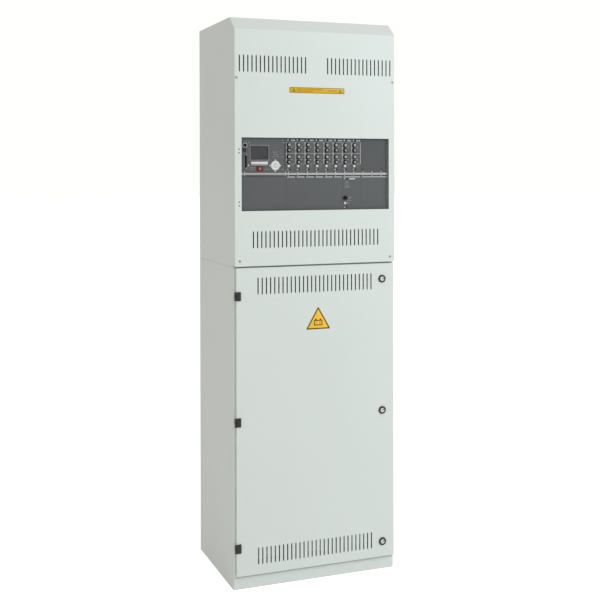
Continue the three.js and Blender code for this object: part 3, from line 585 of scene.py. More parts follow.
def locks():
    """Quarter-turn locks: a black bezel, a zinc insert with a key slot, a cam and its nut."""
    for level in LEVELS:
        housing = Span(f"lock_housing_{level}")
        core = Span(f"lock_core_{level}")
        x, z, face = housing.x, housing.z, DOOR.y0
        proud = housing.y0 - face
        bore = 8.8
        shell = tube([(bore, 17.5), (11.4, 17.5), (11.4, 0.0), (14.6, 0.0), (14.6, proud + 2.4),
                      (14.2, proud + 1.2), (13.4, proud + 0.4), (12.3, proud), (10.6, proud),
                      (9.6, proud + 0.35), (bore, proud + 1.0)], (x, face, z), sides=48)
        nut = tube([(11.5, 2.2), (hexagon(14.6), 2.2), (hexagon(14.6), 7.4), (11.5, 7.4)],
                   (x, face, z), sides=24)
        piece(f"lock_bezel_{level}", black_plastic, [shell], body="door",
              replaces=f"lock_housing_{level}")
        piece(f"lock_nut_{level}", turned_steel, [nut], body="door")

        front = proud + 1.1
        rear = core.y1 - face - 2.8
        keyway = single_bit(2.6, 8.0, 2.2, math.radians(25))
        insert = stack([(0, rear), (8.4, rear), (8.4, front + 0.5), (8.0, front),
                        (keyway, front), (keyway, front + 6), (0, front + 6)], (x, face, z),
                       sides=120)
        cam_front = core.y1 - 3
        cam = plate(rounded(x - 8, x + 8, core.z0, core.z0 + 44, 5), cam_front, core.y1, 0.3)
        bolt = stack([(hexagon(4.6), 0), (hexagon(4.6), 1.4), (3.8, 1.9), (0, 1.9)],
                     (x, core.y1 - 0.6, z), sides=24)
        piece(f"lock_insert_{level}", lock_zinc, [insert, cam, bolt], body=f"lock_{level}",
              replaces=f"lock_core_{level}")


def triangle(x, low, width, height, inset):
    """Corners of an upright triangle, moved in by `inset`."""
    side = math.hypot(width / 2, height)
    inner = width * height / (width + 2 * side)
    share = 1 - inset / inner
    centre = Vector((x, low + inner))
    corners = [Vector((x - width / 2, low)), Vector((x + width / 2, low)), Vector((x, low + height))]
    return [tuple(centre + (corner - centre) * share) for corner in corners]


STICKER = 0.5       # thickness of the signs' foil


def printed(face, outline, hole=None, proud=0.62):
    """Print on a sticker: a filled outline, or the frame between an outline and a hole."""
    front, back = face - proud, face - 0.45
    return ring_plate(outline, hole, front, back) if hole else plate(outline, front, back)


def door_sign():
    """A plain yellow triangle with a black border and a simple picture of a battery."""
    x, low, face = DOOR.x + 3.7, 931, DOOR.y0       # middle and lower edge of the triangle
    width, height = 97, 84
    outer = polygon(triangle(x, low, width, height, 0), 2)
    piece("door_sign", sign_yellow, [plate(outer, face - STICKER, face, 0.12)], body="door")
    middle = low + 25
    parts = [printed(face, polygon(triangle(x, low, width, height, 0.3), 1.8),
                     polygon(triangle(x, low, width, height, 4.7), 1)),
             printed(face, rounded(x - 17, x + 17, middle - 11, middle + 9, 1.6),
                     rounded(x - 13.6, x + 13.6, middle - 7.6, middle + 5.6, 0.8))]
    for side in (-1, 1):
        post = x + side * 9
        stroke = x + side * 7
        parts.append(printed(face, rounded(post - 3.4, post + 3.4, middle + 8.6, middle + 13.2, 0.6)))
        parts.append(printed(face, rounded(stroke - 3.2, stroke + 3.2, middle - 1.9, middle - 0.1, 0.3)))
    parts.append(printed(face, rounded(x + 6.1, x + 7.9, middle - 4.2, middle + 2.2, 0.3), proud=0.64))
    piece("door_sign_print", sign_black, parts, body="door")


# One 12 V block, the gaps between blocks, its posts' distance from its middle, and its lid's height
BATTERY = {"width": 165, "depth": 197, "height": 162, "gap_x": 22, "gap_y": 8, "post_x": 58.5,
           "post_y": 76.5, "lid": 26}


def battery_positions(level):
    """Middles (x, y) of a level's blocks, with their row, and the height they stand at."""
    string = Span(f"battery_string_{level}")
    pitch_x = BATTERY["width"] + BATTERY["gap_x"]
    pitch_y = BATTERY["depth"] + BATTERY["gap_y"]
    spots = [(column * pitch_x, string.y + row * pitch_y / 2, row)
             for column in (-1, 0, 1) for row in (-1, 1)]
    return spots, string.z0


def battery_case_shape(x, y, z):
    """One ribbed case under its lid."""
    half_x, half_y = BATTERY["width"] / 2 - 1.6, BATTERY["depth"] / 2 - 1.6
    shoulder = z + BATTERY["height"] - BATTERY["lid"]
    parts = [slab(x - half_x, x + half_x, y - half_y, y + half_y, z, shoulder + 1, 2.5, 3)]
    rib, pitch, rise = 1.3, 22, 1.4
    for side in (-1, 1):
        low, high = sorted((y + side * half_y, y + side * half_y + side * rise))
        for k in range(7):
            at = x + (k - 3) * pitch
            parts.append(slab(at - rib, at + rib, low, high, z + 10, shoulder - 12, 0.5, 1))
        low, high = sorted((x + side * half_x, x + side * half_x + side * rise))
        for k in range(8):
            at = y + (k - 3.5) * pitch
            parts.append(slab(low, high, at - rib, at + rib, z + 10, shoulder - 12, 0.5, 1))
    return parts


def battery_lid_shape(x, y, z, row):
    """The lid: a lower step that carries the posts, a raised middle, a vent cover and grips."""
    half_x, half_y = BATTERY["width"] / 2, BATTERY["depth"] / 2
    base = z + BATTERY["height"] - BATTERY["lid"]
    top = z + BATTERY["height"]
    step = top - 7
    parts = [slab(x - half_x, x + half_x, y - half_y, y + half_y, base, step, 2.0, 3)]
    posts_side = -row
    far = y - posts_side * half_y
    near = y + posts_side * (BATTERY["post_y"] - 17)
    low, high = sorted((far + posts_side * 5, near))
    parts.append(slab(x - half_x + 5, x + half_x - 5, low, high, step - 1, top, 1.6, 3))
    bridge = sorted((near - posts_side * 2, y + posts_side * (half_y - 5)))
    parts.append(slab(x - 38, x + 38, bridge[0], bridge[1], step - 1, top, 1.6, 3))
    middle = (low + high) / 2
    parts.append(slab(x - 60, x + 60, middle - 16, middle + 16, top - 1, top + 1.2, 0.6, 2))
    for k in range(6):
        cap = x + (k - 2.5) * 19
        parts.append(stack([(5.4, 0), (5.4, 1.0), (4.6, 1.6), (0, 1.6)], (cap, middle, top + 1.0),
                           axis="Z", sides=20))
    return parts


def battery_handles_shape(x, y, z):
    """Folded-down carrying grips along the lid's two ends."""
    grip = z + BATTERY["height"] - BATTERY["lid"] + 7
    parts = []
    for side in (-1, 1):
        edge = x + side * (BATTERY["width"] / 2 + 2.2)
        parts.append(slab(edge - 2.2, edge + 2.2, y - 46, y + 46, grip, grip + 9, 1.8, 3))
        for end in (-1, 1):
            parts.append(slab(edge - 2.6, edge + 2.6, y + end * 46 - 6, y + end * 46 + 6, grip - 2,
                              grip + 11, 1.4, 2))
    return parts


BATTERY_SURFACES = {"cases": battery_case, "lids": battery_lid, "handles": pole_black,
                    "posts": terminal_lead, "links": link_copper, "bolts": turned_steel,
                    "labels": bright_white, "plus_collars": pole_red, "minus_collars": pole_black}


def battery_strings():
    """Six blocks on each level, joined in series by link bars, as one piece for each kind of part."""
    pitch_x = BATTERY["width"] + BATTERY["gap_x"]
    for level in LEVELS:
        spots, z = battery_positions(level)
        top = z + BATTERY["height"]
        shapes = {kind: [] for kind in BATTERY_SURFACES}
        for x, y, row in spots:
            shapes["cases"] += battery_case_shape(x, y, z)
            shapes["lids"] += battery_lid_shape(x, y, z, row)
            shapes["handles"] += battery_handles_shape(x, y, z)
            post_y = y - row * BATTERY["post_y"]
            for side in (-1, 1):
                spot = (x + side * BATTERY["post_x"], post_y, top - 7)
                kind = "plus_collars" if side * row > 0 else "minus_collars"
                shapes["posts"].append(stack([(9, -1), (9, 2.2), (8, 3), (0, 3)], spot, "Z", 24))
                shapes[kind].append(stack([(13.5, -1), (13.5, 1.2), (12.9, 1.8), (9.2, 1.8), (9.2, -1)],
                                          spot, "Z", 24))
                shapes["bolts"].append(stack([(7.6, 0), (7.6, 1.1), (hexagon(5.6), 1.1),
                                              (hexagon(5.6), 5.0), (4.6, 5.6), (0, 5.6)],
                                             (spot[0], post_y, top - 0.4), "Z", 24))
            if row < 0:
                face = y + row * (BATTERY["depth"] / 2 - 1.7)
                shapes["labels"].append(slab(x - 36, x + 36, face - 1.7, face - 1.45, z + 52, z + 96,
                                             0.05, 1))
        ends = [y - row * BATTERY["post_y"] for y, row in sorted({(y, row) for _, y, row in spots})]
        for bar_y in ends:
            for column in (-1, 0):
                start = column * pitch_x + BATTERY["post_x"]
                end = start + pitch_x - 2 * BATTERY["post_x"]
                shapes["links"].append(slab(start - 9, end + 9, bar_y - 8, bar_y + 8,
                                            top - 4.2, top - 0.2, 0.7))
        last = pitch_x + BATTERY["post_x"]
        shapes["links"].append(slab(last - 8, last + 8, min(ends) - 9, max(ends) + 9,
                                    top - 4.2, top - 0.2, 0.7))
        for kind, finish in BATTERY_SURFACES.items():
            replaced = f"battery_string_{level}" if kind == "cases" else None
            piece(f"battery_{kind}_{level}", finish, shapes[kind], replaces=replaced)


# ---- upper cabinet

def cover_fixings():
    """Four screws that hold the cover, and the two pairs of pins beside the window."""
    corners = ((311, 1855.6), (299.5, 1192.2))      # distance from the middle, height
    screws = [screw(side * x, COVER.y0, z, 4.4, 1.5) for side in (-1, 1) for x, z in corners]
    piece("cover_screws", plated_screw, screws)
    pins = [stack([(2.6, 0.2), (2.6, -0.2), (2.1, -0.5), (hexagon(0.9), -0.5), (hexagon(0.9), 0.1)],
                  (-301.8, COVER.y0, z), sides=24) for z in (1597, 1584.4, 1405.9, 1392.8)]
    piece("cover_pins", black_steel, pins)


def seam_shade_strips():
    """Foam strips whose grey is painted shade: in the joint between the two cabinets, in front and down
    both sides, and along the sill behind the door's lower edge, where the door's shadow falls."""
    edge = Span("lower_shell")
    above = Span("upper_shell")
    joint = slab(edge.x0 + 3, edge.x1 - 3, edge.y0 - 1.6, edge.y0 - 0.2, DOOR.z1 - 4, COVER.z0 + 4, 0.5)
    strip = edge.x1 - 0.3
    sides = [slab(side * strip - 0.15, side * strip + 0.15, edge.y0 + 2, edge.y1 - 2,
                  edge.z1 - 0.45, above.z0 + 0.45, 0) for side in (-1, 1)]
    sill = slab(DOOR.x0 + 2, DOOR.x1 - 2, edge.y0 - 0.9, edge.y0 - 0.1, DOOR.z0 - 9, DOOR.z0 - 4, 0.3)
    piece("seam_shade_strips", seam_shade_foam, [joint, *sides, sill])
    # A pale strip on the frame's front edge beside the door: painted highlight where the door's shadow
    # falls
    corner = slab(edge.x0 + 0.1, edge.x0 + 4, edge.y0 - 0.5, edge.y0 - 0.05, DOOR.z0, DOOR.z1, 0.15, 1)
    piece("frame_edge_highlight", edge_highlight_paint, [corner])


def cover_strip():
    """A plain yellow strip with a printed border, a small triangle at each end and rows of dashes."""
    x0, x1, z0, z1 = -107.4, 111.2, 1805.7, 1826.5
    middle = (z0 + z1) / 2
    face = COVER.y0
    piece("cover_strip", sign_gold, [plate(rounded(x0, x1, z0, z1, 2), face - STICKER, face, 0.12)])
    parts = [printed(face, rounded(x0 + 0.2, x1 - 0.2, z0 + 0.2, z1 - 0.2, 1.9),
                     rounded(x0 + 2.2, x1 - 2.2, z0 + 2.2, z1 - 2.2, 0.6))]
    for x in (x0 + 17, x1 - 17):
        parts.append(printed(face, polygon(triangle(x, middle - 6.2, 15, 12.8, 0), 0.8),
                             polygon(triangle(x, middle - 6.2, 15, 12.8, 2.2), 0.3)))
        parts.append(printed(face, rounded(x - 0.8, x + 0.8, middle - 2.6, middle + 2.0, 0.4)))
    piece("cover_strip_border", sign_ochre, parts)
    draw = random.Random(7)
    dashes = []
    for z, end in ((middle + 3.4, x1 - 96), (middle - 3.6, x0 + 88)):
        x = x0 + 29
        while x < end:
            width = draw.uniform(4, 11)
            dashes.append(printed(face, rounded(x, x + width, z - 1.7, z + 1.7, 0.5)))
            x += width + draw.uniform(1.2, 2.4)
    dashes.append(printed(face, rounded(x1 - 66, x1 - 30, middle - 1.7, middle + 1.7, 0.5)))
    piece("cover_strip_print", sign_print, dashes)


INK = 0.18          # how far printing stands off its panel


def mark(x0, x1, z0, z1, radius=0.2, proud=INK):
    """A printed patch on the front panels."""
    return plate(rounded(x0, x1, z0, z1, radius, 2), PANEL_FACE - proud, PANEL_FACE + 0.1)


def catch(x, z, radius, hole, proud=0.8):
    """A round fastener with a hexagonal recess, on the front panels."""
    return stack([(radius, 0.1), (radius, 0.3 - proud), (radius - 0.4, -proud), (hexagon(hole), -proud),
                  (hexagon(hole), 0)], (x, PANEL_FACE, z), sides=24)


def words(draw, start, stop, shortest, longest):
    """Ends (x0, x1) of a row of words of random length."""
    x = start
    while x < stop:
        width = draw.uniform(shortest, longest)
        yield x, x + width
        x += width + 0.9


def display():
    """The grey frame round the display, and the black mask inside its glass."""
    glass = Span("display_window")

    def outline(left, right, below, above, radius):
        """The window's outline, moved out on each side."""
        return rounded(glass.x0 - left, glass.x1 + right, glass.z0 - below, glass.z1 + above, radius)

    border = ring_plate(outline(4.4, 4.4, 5.6, 6.2, 1.6), outline(2.6, 2.6, 3.8, 4.4, 0.8),
                        PANEL_FACE - 0.7, PANEL_FACE + 0.1, 0.25)
    piece("display_border", shade_plastic, [border])
    inner = ring_plate(outline(1.2, 1.2, 1.2, 1.2, 1.2), outline(-1.2, -1.2, -1.2, -1.2, 0.8),
                       PANEL_FACE - 0.4, PANEL_FACE + 0.8, 0.3)
    piece("display_mask", black_plastic, [inner])


def softkey():
    """A long key with rounded ends, whose lower part falls away and is coloured a darker grey."""
    key = Span("softkey_bar")
    fold = key.z0 + 7.4
    upper = [(key.y1, key.z1 - 0.6), (key.y0 + 0.8, key.z1 - 0.6), (key.y0 + 0.2, key.z1 - 1.0),
             (key.y0, key.z1 - 1.8), (key.y0, fold + 0.3), (key.y0 + 0.2, fold), (key.y1, fold)]
    lower = [(key.y1, fold), (key.y0 + 0.5, fold), (key.y0 + 0.5, fold - 0.6),
             (key.y0 + 2.2, key.z0 + 1.2), (key.y0 + 2.9, key.z0 + 0.6), (key.y1, key.z0 + 0.6)]
    piece("softkey_cap", white_plastic, [key_bar(key, upper)], body="softkey", replaces="softkey_bar",
          sharp=40)
    piece("softkey_darker_lower", shade_plastic, [key_bar(key, lower)], body="softkey", sharp=40)


def key_bar(key, profile):
    """A key's cross-section (y, z) drawn along its length, sinking back a little at both ends."""
    bm = bmesh.new()
    ends = [(key.x0 + 0.5, 0.7), (key.x0 + 1.1, 0.2), (key.x0 + 2.1, 0.0),
            (key.x1 - 2.1, 0.0), (key.x1 - 1.1, 0.2), (key.x1 - 0.5, 0.7)]
    loops = [[bm.verts.new((x, min(y + sink, key.y1), z)) for y, z in profile] for x, sink in ends]
    for first, second in zip(loops, loops[1:]):
        band(bm, first, second)
    bm.faces.new(loops[0])
    bm.faces.new(reversed(loops[-1]))
    return closed(bm)


def red_key():
    """A dark red housing with a bright round key in it."""
    key = Span("red_button")
    face = PANEL_FACE - 0.8
    body = plate(rounded(key.x0 + 0.3, key.x1 - 0.3, key.z0 + 0.3, key.z1 - 0.3, 1.6), face,
                 key.y1, 0.5, 3)
    piece("red_key_body", red_guard, [body], body="red_key", replaces="red_button")
    cap = stack([(6.1, 0.4), (6.1, -1.2), (5.7, -1.7), (4.8, -1.9), (3.0, -1.72), (0, -1.6)],
                (key.x, face, key.z), sides=40)
    piece("red_key_cap", red_plastic, [cap], body="red_key")


def navigation():
    """The navigation pad, its centre key and the four arrows printed round it."""
    ring = Span("nav_ring")
    x, z = ring.x, ring.z
    radius = (ring.x1 - ring.x0) / 2
    hole = 6.0
    rings = [(hole, ring.y0 + 4), (hole, ring.y0 + 1.1), (hole + 0.6, ring.y0 + 0.6),
             (radius * 0.5, ring.y0 + 0.3), (radius * 0.68, ring.y0 + 0.05),
             (radius * 0.82, ring.y0), (radius * 0.92, ring.y0 + 0.25),
             (radius * 0.98, ring.y0 + 0.8), (radius, ring.y0 + 1.7), (radius, ring.y0 + 4)]
    disc = tube(rings, (x, 0, z), sides=64)
    ears = [slab(x + side * 14.6 - 1, x + side * 14.6 + 1, ring.y0 + 3.5, ring.y1, z - 3, z + 3, 0.3)
            for side in (-1, 1)]
    piece("nav_pad", white_plastic, [disc, *ears], body="nav_ring", replaces="nav_ring")
    # A grey ring on the pad round the centre key: painted shade where a groove would be
    ring_shade = ring_plate(circle(x, z, 8.6), circle(x, z, 7.1), ring.y0 + 0.32, ring.y0 + 0.9)
    piece("nav_pad_ring_shade", key_grey, [ring_shade], body="nav_ring")
    key = Span("nav_ok_button")
    cap = stack([(0, key.y1), (5.6, key.y1), (5.6, key.y0 + 0.9), (5.2, key.y0 + 0.4),
                 (4.2, key.y0 + 0.12), (2.4, key.y0 + 0.3), (0, key.y0 + 0.42)], (x, 0, z), sides=40)
    piece("nav_ok_cap", white_plastic, [cap], body="nav_ok", replaces="nav_ok_button")
    arrows = []
    for quarter in range(4):
        turn = Matrix.Rotation(quarter * math.pi / 2, 2)
        corners = [turn @ Vector(p) for p in ((18.8, -3.8), (23.6, 0), (18.8, 3.8))]
        corners = [(x + p.x, z + p.y) for p in corners]
        arrows.append(plate(polygon(corners, 0.5, 3), PANEL_FACE - INK, PANEL_FACE + 0.1))
    piece("nav_arrows", bright_white, arrows)


def circle(x, z, radius, count=40):
    """Points (x, z) round a circle."""
    angles = [2 * math.pi * k / count for k in range(count)]
    return [(x + radius * math.cos(a), z + radius * math.sin(a)) for a in angles]


def sockets():
    """The keyboard socket, the second round socket, and the printer connector with its screws."""
    body = Span("keyboard_socket")
    x, z = body.x, body.z
    face = body.y0
    ring = stack([(9, 17), (9, 0.9), (8.6, 0.25), (7.9, 0), (7.4, 0.3), (7.2, 1.2), (7.2, 12),
                  (0, 12)], (x, face, z), sides=48)
    piece("keyboard_socket_shell", white_plastic, [ring], replaces="keyboard_socket")
    insert = stack([(7.1, 11.9), (7.1, 1.6), (6.3, 1.4), (6.1, 3.2), (0, 3.2)], (x, face, z), sides=40)
    holes = [stack([(0.9, 3.0), (0.9, 3.3)], (hole_x, face, hole_z), sides=12)
             for hole_x, hole_z in circle(x, z, 4.1, 8)[:5]]
    key = slab(x - 1.2, x + 1.2, face + 2.7, face + 3.6, z - 6.3, z - 4.6, 0.2)
    piece("keyboard_socket_insert", deep_black_hole_shade, [insert, key])
    piece("keyboard_socket_contacts", black_steel, holes)

    # The second socket's middle is a flat disc of the deep black at the panel face: painted shade for its
    # hole
    second = stack([(6.4, 0.1), (6.4, -1.4), (5.9, -1.9), (3.8, -1.9), (3.5, -1.4), (3.5, 0.05),
                    (0, 0.05)], (-278.2, PANEL_FACE, 1594.9), sides=40)
    piece("audio_socket", deep_black_hole_shade, [second])

    port = Span("printer_connector")
    face = port.y0
    narrow = 0.7
    outline = [(port.x0, port.z0 + 1.5), (port.x0 + 1.0, port.z0), (port.x1 - 1.0, port.z0 + narrow),
               (port.x1, port.z0 + 2.2), (port.x1, port.z1 - 2.2), (port.x1 - 1.0, port.z1 - narrow),
               (port.x0 + 1.0, port.z1), (port.x0, port.z1 - 1.5)]
    middle = Vector((port.x, port.z))
    inner = [tuple(middle + Vector(((p[0] - middle.x) * 0.8, (p[1] - middle.y) * 0.965)))
             for p in outline]
    shell = ring_plate(outline, inner, face, port.y1, 0.15)
    piece("printer_connector_shell", black_steel, [shell], replaces="printer_connector")
    core = plate(inner, face + 1.6, face + 7.8)
    piece("printer_connector_core", deep_black_hole_shade, [core])
    lip = mark(port.x0 - 1.7, port.x0 - 0.4, port.z0 + 2, port.z1 - 2, 0.4, 0.5)
    piece("printer_connector_lip", shade_plastic, [lip])
    pins = []
    for column, count in ((-1.35, 13), (1.35, 12)):
        for k in range(count):
            pin_z = port.z + (k - (count - 1) / 2) * 2.77
            pins.append(stack([(0.42, 1.4), (0.42, 1.7)], (port.x + column, face, pin_z), sides=8))
    piece("printer_connector_contacts", black_steel, pins)
    jacks = [stack([(hexagon(2.5), 0.1), (hexagon(2.5), -3.0), (1.9, -3.2), (1.3, -3.2), (1.3, -1.5),
                    (0, -1.5)], (port.x + 1, PANEL_FACE, z), sides=24)
             for z in (port.z - 24.6, port.z + 24.6)]
    piece("printer_jack_screws", plated_screw, jacks)


def control_marks():
    """Print, lamps and screws of the control panel."""
    lamp = slab(-265.8, -260.4, PANEL_FACE - 0.8, PANEL_FACE + 0.2, 1534.2, 1542.6, 0.4)
    piece("status_lamp", fuse_plastic, [lamp])
    rows = [(1603, ((-158.5, -156.8),)), (1597, ((-158.5, -156.8),)),
            (1586.5, ((-170, -161.5), (-159.5, -154))), (1578.5, ((-166, -156), (-154, -147))),
            (1570, ((-170, -161.5), (-159, -155), (-153, -146)))]
    marks = [mark(x0, x1, z, z + 1.3) for z, dashes in rows for x0, x1 in dashes]
    marks += [mark(*ends) for ends in (
        (-259, -238, 1524.4, 1525.4), (-201, -182, 1524.4, 1525.4), (-259, -236, 1530.6, 1531.4),
        (-263.5, -256, 1621.6, 1623.4), (-268, -264.5, 1616.4, 1617.6))]
    piece("control_marks", printed_white, marks)
    seam = CONTROL.x1 - 6
    spots = [(seam - 13.4, 1571 + 12.2 * k) for k in range(3)] + [(seam - 5.6, 1571)]
    lamps = [stack([(1.1, 0.1), (1.1, -0.46), (0.99, -0.5), (0, -0.5)], (x, PANEL_FACE, z), sides=20)
             for x, z in spots]
    piece("control_lamps", key_grey, lamps)
    screws = [screw(x, PANEL_FACE, z, 2.5, 1.3)
              for x, z in ((seam - 7, 1632.4), (seam - 3.4, 1621.6), (seam - 6.6, 1522.6))]
    piece("control_screws", plated_screw, screws)
    line = mark(seam - 0.4, seam + 0.4, CONTROL.z0 + 0.5, CONTROL.z1 - 0.5, 0.1)
    piece("control_seam", black_plastic, [line])


MODULE_LEFT = MODULES[0].x0 - 0.4       # the first module's slot, with half of the gap beside it
PITCH = MODULES[1].x - MODULES[0].x
FUSE_X = 10.2
FUSES = ((39.5, 4.1), (59, 5.1), (83.3, 4.1), (102.8, 5.1))     # height, radius of the cap
FUSE_FRONT = MODULES[0].y0


def fuse(x, z, face_radius):
    """A fuse holder: a black sleeve with a flange, and a light bayonet cap with a slot in its face."""
    front = FUSE_FRONT - 0.4
    radius = 7.05
    body = stack([(radius + 0.5, PANEL_FACE + 0.1), (radius + 0.5, PANEL_FACE - 0.9),
                  (radius, PANEL_FACE - 1.3), (radius, front + 1.2), (radius - 0.3, front + 0.5),
                  (radius - 0.9, front + 0.1), (face_radius + 0.2, front), (0, front)],
                 (x, 0, z), sides=36)
    slot = cross(face_radius * 0.5, 0.45)
    cap = stack([(face_radius, front + 0.1), (face_radius, front - 0.6), (face_radius - 0.4, front - 1.0),
                 (slot, front - 1.0), (slot, front - 0.3)], (x, 0, z), sides=48)
    return body, cap


def module_unit(number, span):
    """Everything on one circuit module's panel."""
    left, base = span.x0 - 0.4, span.z0
    holders = [fuse(left + FUSE_X, base + height, radius) for height, radius in FUSES]
    piece(f"fuse_bodies_{number}", deep_black_hole_shade, [body for body, _ in holders])
    piece(f"fuse_caps_{number}", fuse_plastic, [cap for _, cap in holders])

    low, middle, high = base + 32.6, base + 71.6, base + 112.9
    uprights = [mark(left + x - 0.65, left + x + 0.65, low, high, proud=INK * 1.5)
                for x in (1.45, PITCH - 1.45)]
    piece(f"module_lines_{number}", bright_white, uprights)
    marks = [mark(left + 0.6, left + PITCH - 0.6, z - half, z + half)
             for z, half in ((low, 0.6), (middle, 0.75), (high, 0.4))]
    marks.append(mark(left + 21, left + 27, base + 24.2, base + 25.4))
    for height, _ in FUSES[1::2]:
        marks.append(mark(left + 24.6, left + 29.4, base + height - 3.4, base + height - 2.4))
    piece(f"module_marks_{number}", printed_white, marks)
    text = [mark(x0, min(x1, left + 34.4), base + 118, base + 121.6)
            for x0, x1 in words(random.Random(40 + number), left + 19.4, left + 33, 2.0, 4.2)]
    piece(f"module_label_{number}", bright_white, text)

    lamps = [stack([(1.7, 0.1), (1.7, -0.7), (1.2, -1.2), (0, -1.35)],
                   (left + 21.4, PANEL_FACE, base + z), sides=20) for z in (93.3, 48.8)]
    piece(f"module_lamps_{number}", bright_white, lamps)
    screws = [screw(left + 7, PANEL_FACE, base + z, 1.9, 1.0) for z in (120.8, 11.8)]
    piece(f"module_screws_{number}", turned_steel, screws)
    catches = [catch(left + 14.6, base + z, 3.1, 1.4) for z in (120.6, 12.0)]
    piece(f"module_catches_{number}", deep_black_hole_shade, catches)


def round_cap(name, node, body):
    """A round push key with a soft dome."""
    key = Span(node)
    radius = (key.x1 - key.x0) / 2
    cap = stack([(0, key.y1), (radius, key.y1), (radius, key.y0 + 1.3), (radius * 0.95, key.y0 + 0.7),
                 (radius * 0.8, key.y0 + 0.25), (radius * 0.5, key.y0 + 0.06), (0, key.y0)],
                (key.x, 0, key.z), sides=40)
    piece(name, white_plastic, [cap], body=body, replaces=node)


def circuit_modules():
    for number, span in enumerate(MODULES, start=1):
        module_unit(number, span)
        round_cap(f"info_cap_{number}", f"info_button_{number}", f"info_key_{number}")


def charger():
    """The charger's fuse holder, key, print, screws and catches."""
    left, base = CHARGER.x0 - 0.4, CHARGER.z0
    front = CHARGER.y0
    slot = cross(3.4, 0.6)
    holder = stack([(7.7, PANEL_FACE + 0.1), (7.7, PANEL_FACE - 0.9), (7.2, PANEL_FACE - 1.3),
                    (7.2, front + 0.8), (6.6, front - 0.1), (5.8, front - 0.5), (slot, front - 1.2),
                    (slot, front - 0.3)], (left + 10.6, 0, base + 47), sides=48)
    piece("charger_fuse", deep_black_hole_shade, [holder])
    round_cap("charger_cap", "charger_button", "charger_key")
    marks = [mark(left + x0, left + x1, base + z0, base + z1)
             for x0, x1, z0, z1 in ((25, 37, 48.6, 49.6), (25, 33, 44.4, 45.4), (18, 30, 35.6, 36.6),
                                    (33, 38, 35.6, 36.6), (18, 27, 26.6, 28.2))]
    draw = random.Random(3)
    for row in range(6):
        x = left + 9
        for _ in range(3):
            width = draw.uniform(2.2, 7.5)
            marks.append(mark(x, x + width, base + 108 - row * 4.6, base + 108.9 - row * 4.6))
            x += width + 1.1
    piece("charger_marks", printed_white, marks)
    label = [mark(x0, x1, base + 116.4, base + 120.4)
             for x0, x1 in words(draw, left + 27, left + 49, 2.6, 5.4)]
    piece("charger_label", bright_white, label)
    screws = [screw(left + x, PANEL_FACE, base + z, 1.9, 1.0) for x, z in ((8.4, 11.6), (8.6, 119.4))]
    piece("charger_screws", turned_steel, screws)
    catches = [catch(left + x, base + z, 2.8, 1.2) for x, z in ((15.3, 13.6), (20, 119.2))]
    piece("charger_catches", deep_black_hole_shade, catches)


def rail_fittings():
    """Clips over the middle rail, the black channel under it and the light label holders."""
    low, high = RAIL.z1 - 7.6, RAIL.z1
    face = RAIL.y0
    spots = [MODULE_LEFT + 7.9 + PITCH * k for k in range(9)]
    clips = []
    for x in spots + [spots[-1] + PITCH, spots[-1] + 2 * PITCH, CONTROL.x1 - 4.2, CONTROL.x0 + 12]:
        clips.append(slab(x - 1.3, x + 1.3, face - 0.9, PANEL_FACE + 0.2, low - 4.6, high + 5.6, 0.5))
    clips.append(slab(RAIL.x1 - 1, 300, RAIL.y0 + 0.2, PANEL_FACE + 1, RAIL.z0 + 3, RAIL.z1 - 0.2, 0.5))
    piece("rail_clips", rail_aluminium, clips)
    start = MODULE_LEFT + 3
    channel = slab(start, 290, PANEL_FACE - 0.6, PANEL_FACE + 6, low - 4.6, low - 0.3, 0.3)
    piece("label_channel", black_plastic, [channel])
    lip = slab(CONTROL.x0 + 0.5, start - 0.5, face - 0.5, PANEL_FACE + 1, RAIL.z0 + 0.3, RAIL.z1 - 6.4, 0.3)
    piece("rail_lip", panel_grey, [lip])
    ends = [(MODULE_LEFT + PITCH * k + 3.3, MODULE_LEFT + PITCH * k + 34.5) for k in range(6)]
    ends.append((MODULE_LEFT + PITCH * 6 + 3.3, MODULE_LEFT + PITCH * 8 - 3))
    ends.append((MODULE_LEFT + PITCH * 8 + 3.3, 298))
    holders = [slab(x0, x1, PANEL_FACE - 1.3, PANEL_FACE + 0.2, low - 10.2, low - 5.0, 0.4)
               for x0, x1 in ends]
    piece("label_holders", printed_white, holders)
    pins = [catch(x, z, 2.4, 1.0, 0.9) for x, z in ((233.6, 1514.6), (268.6, 1526.4), (191.4, 1524))]
    piece("blank_catches", black_steel, pins)


def panel_trims():
    """Strips beside the panels, the right-hand one in a lighter grey as painted light in the cover's
    shadow, and the thin gaskets in the joints of the lower row.
    """
    rows = (Span("blank_upper_right"), Span("blank_lower_right"))
    low, high = rows[1].z0, rows[0].z1
    edge = rows[0].x1
    trims = [slab(-302, -edge - 1, PANEL_FACE + 0.2, PANEL_FACE + 2, low, high, 0.3)]
    # Lighter grey than the panels: painted light that lifts the cover's shadow on this upright
    upright = slab(edge + 0.6, 302, PANEL_FACE + 0.2, PANEL_FACE + 2, low, high, 0.3)
    piece("panel_upright", shade_plastic, [upright])
    for joint in (Span("blank_lower_middle").x0, CHARGER.x0, CHARGER.x1):
        middle = joint - 0.3 if joint < CHARGER.x1 else joint + 0.3
        trims.append(slab(middle - 0.25, middle + 0.25, PANEL_FACE + 0.15, PANEL_FACE + 1.5,
                          low + 1, rows[1].z1 - 1, 0.05, 1))
    piece("panel_trims", panel_grey, trims)


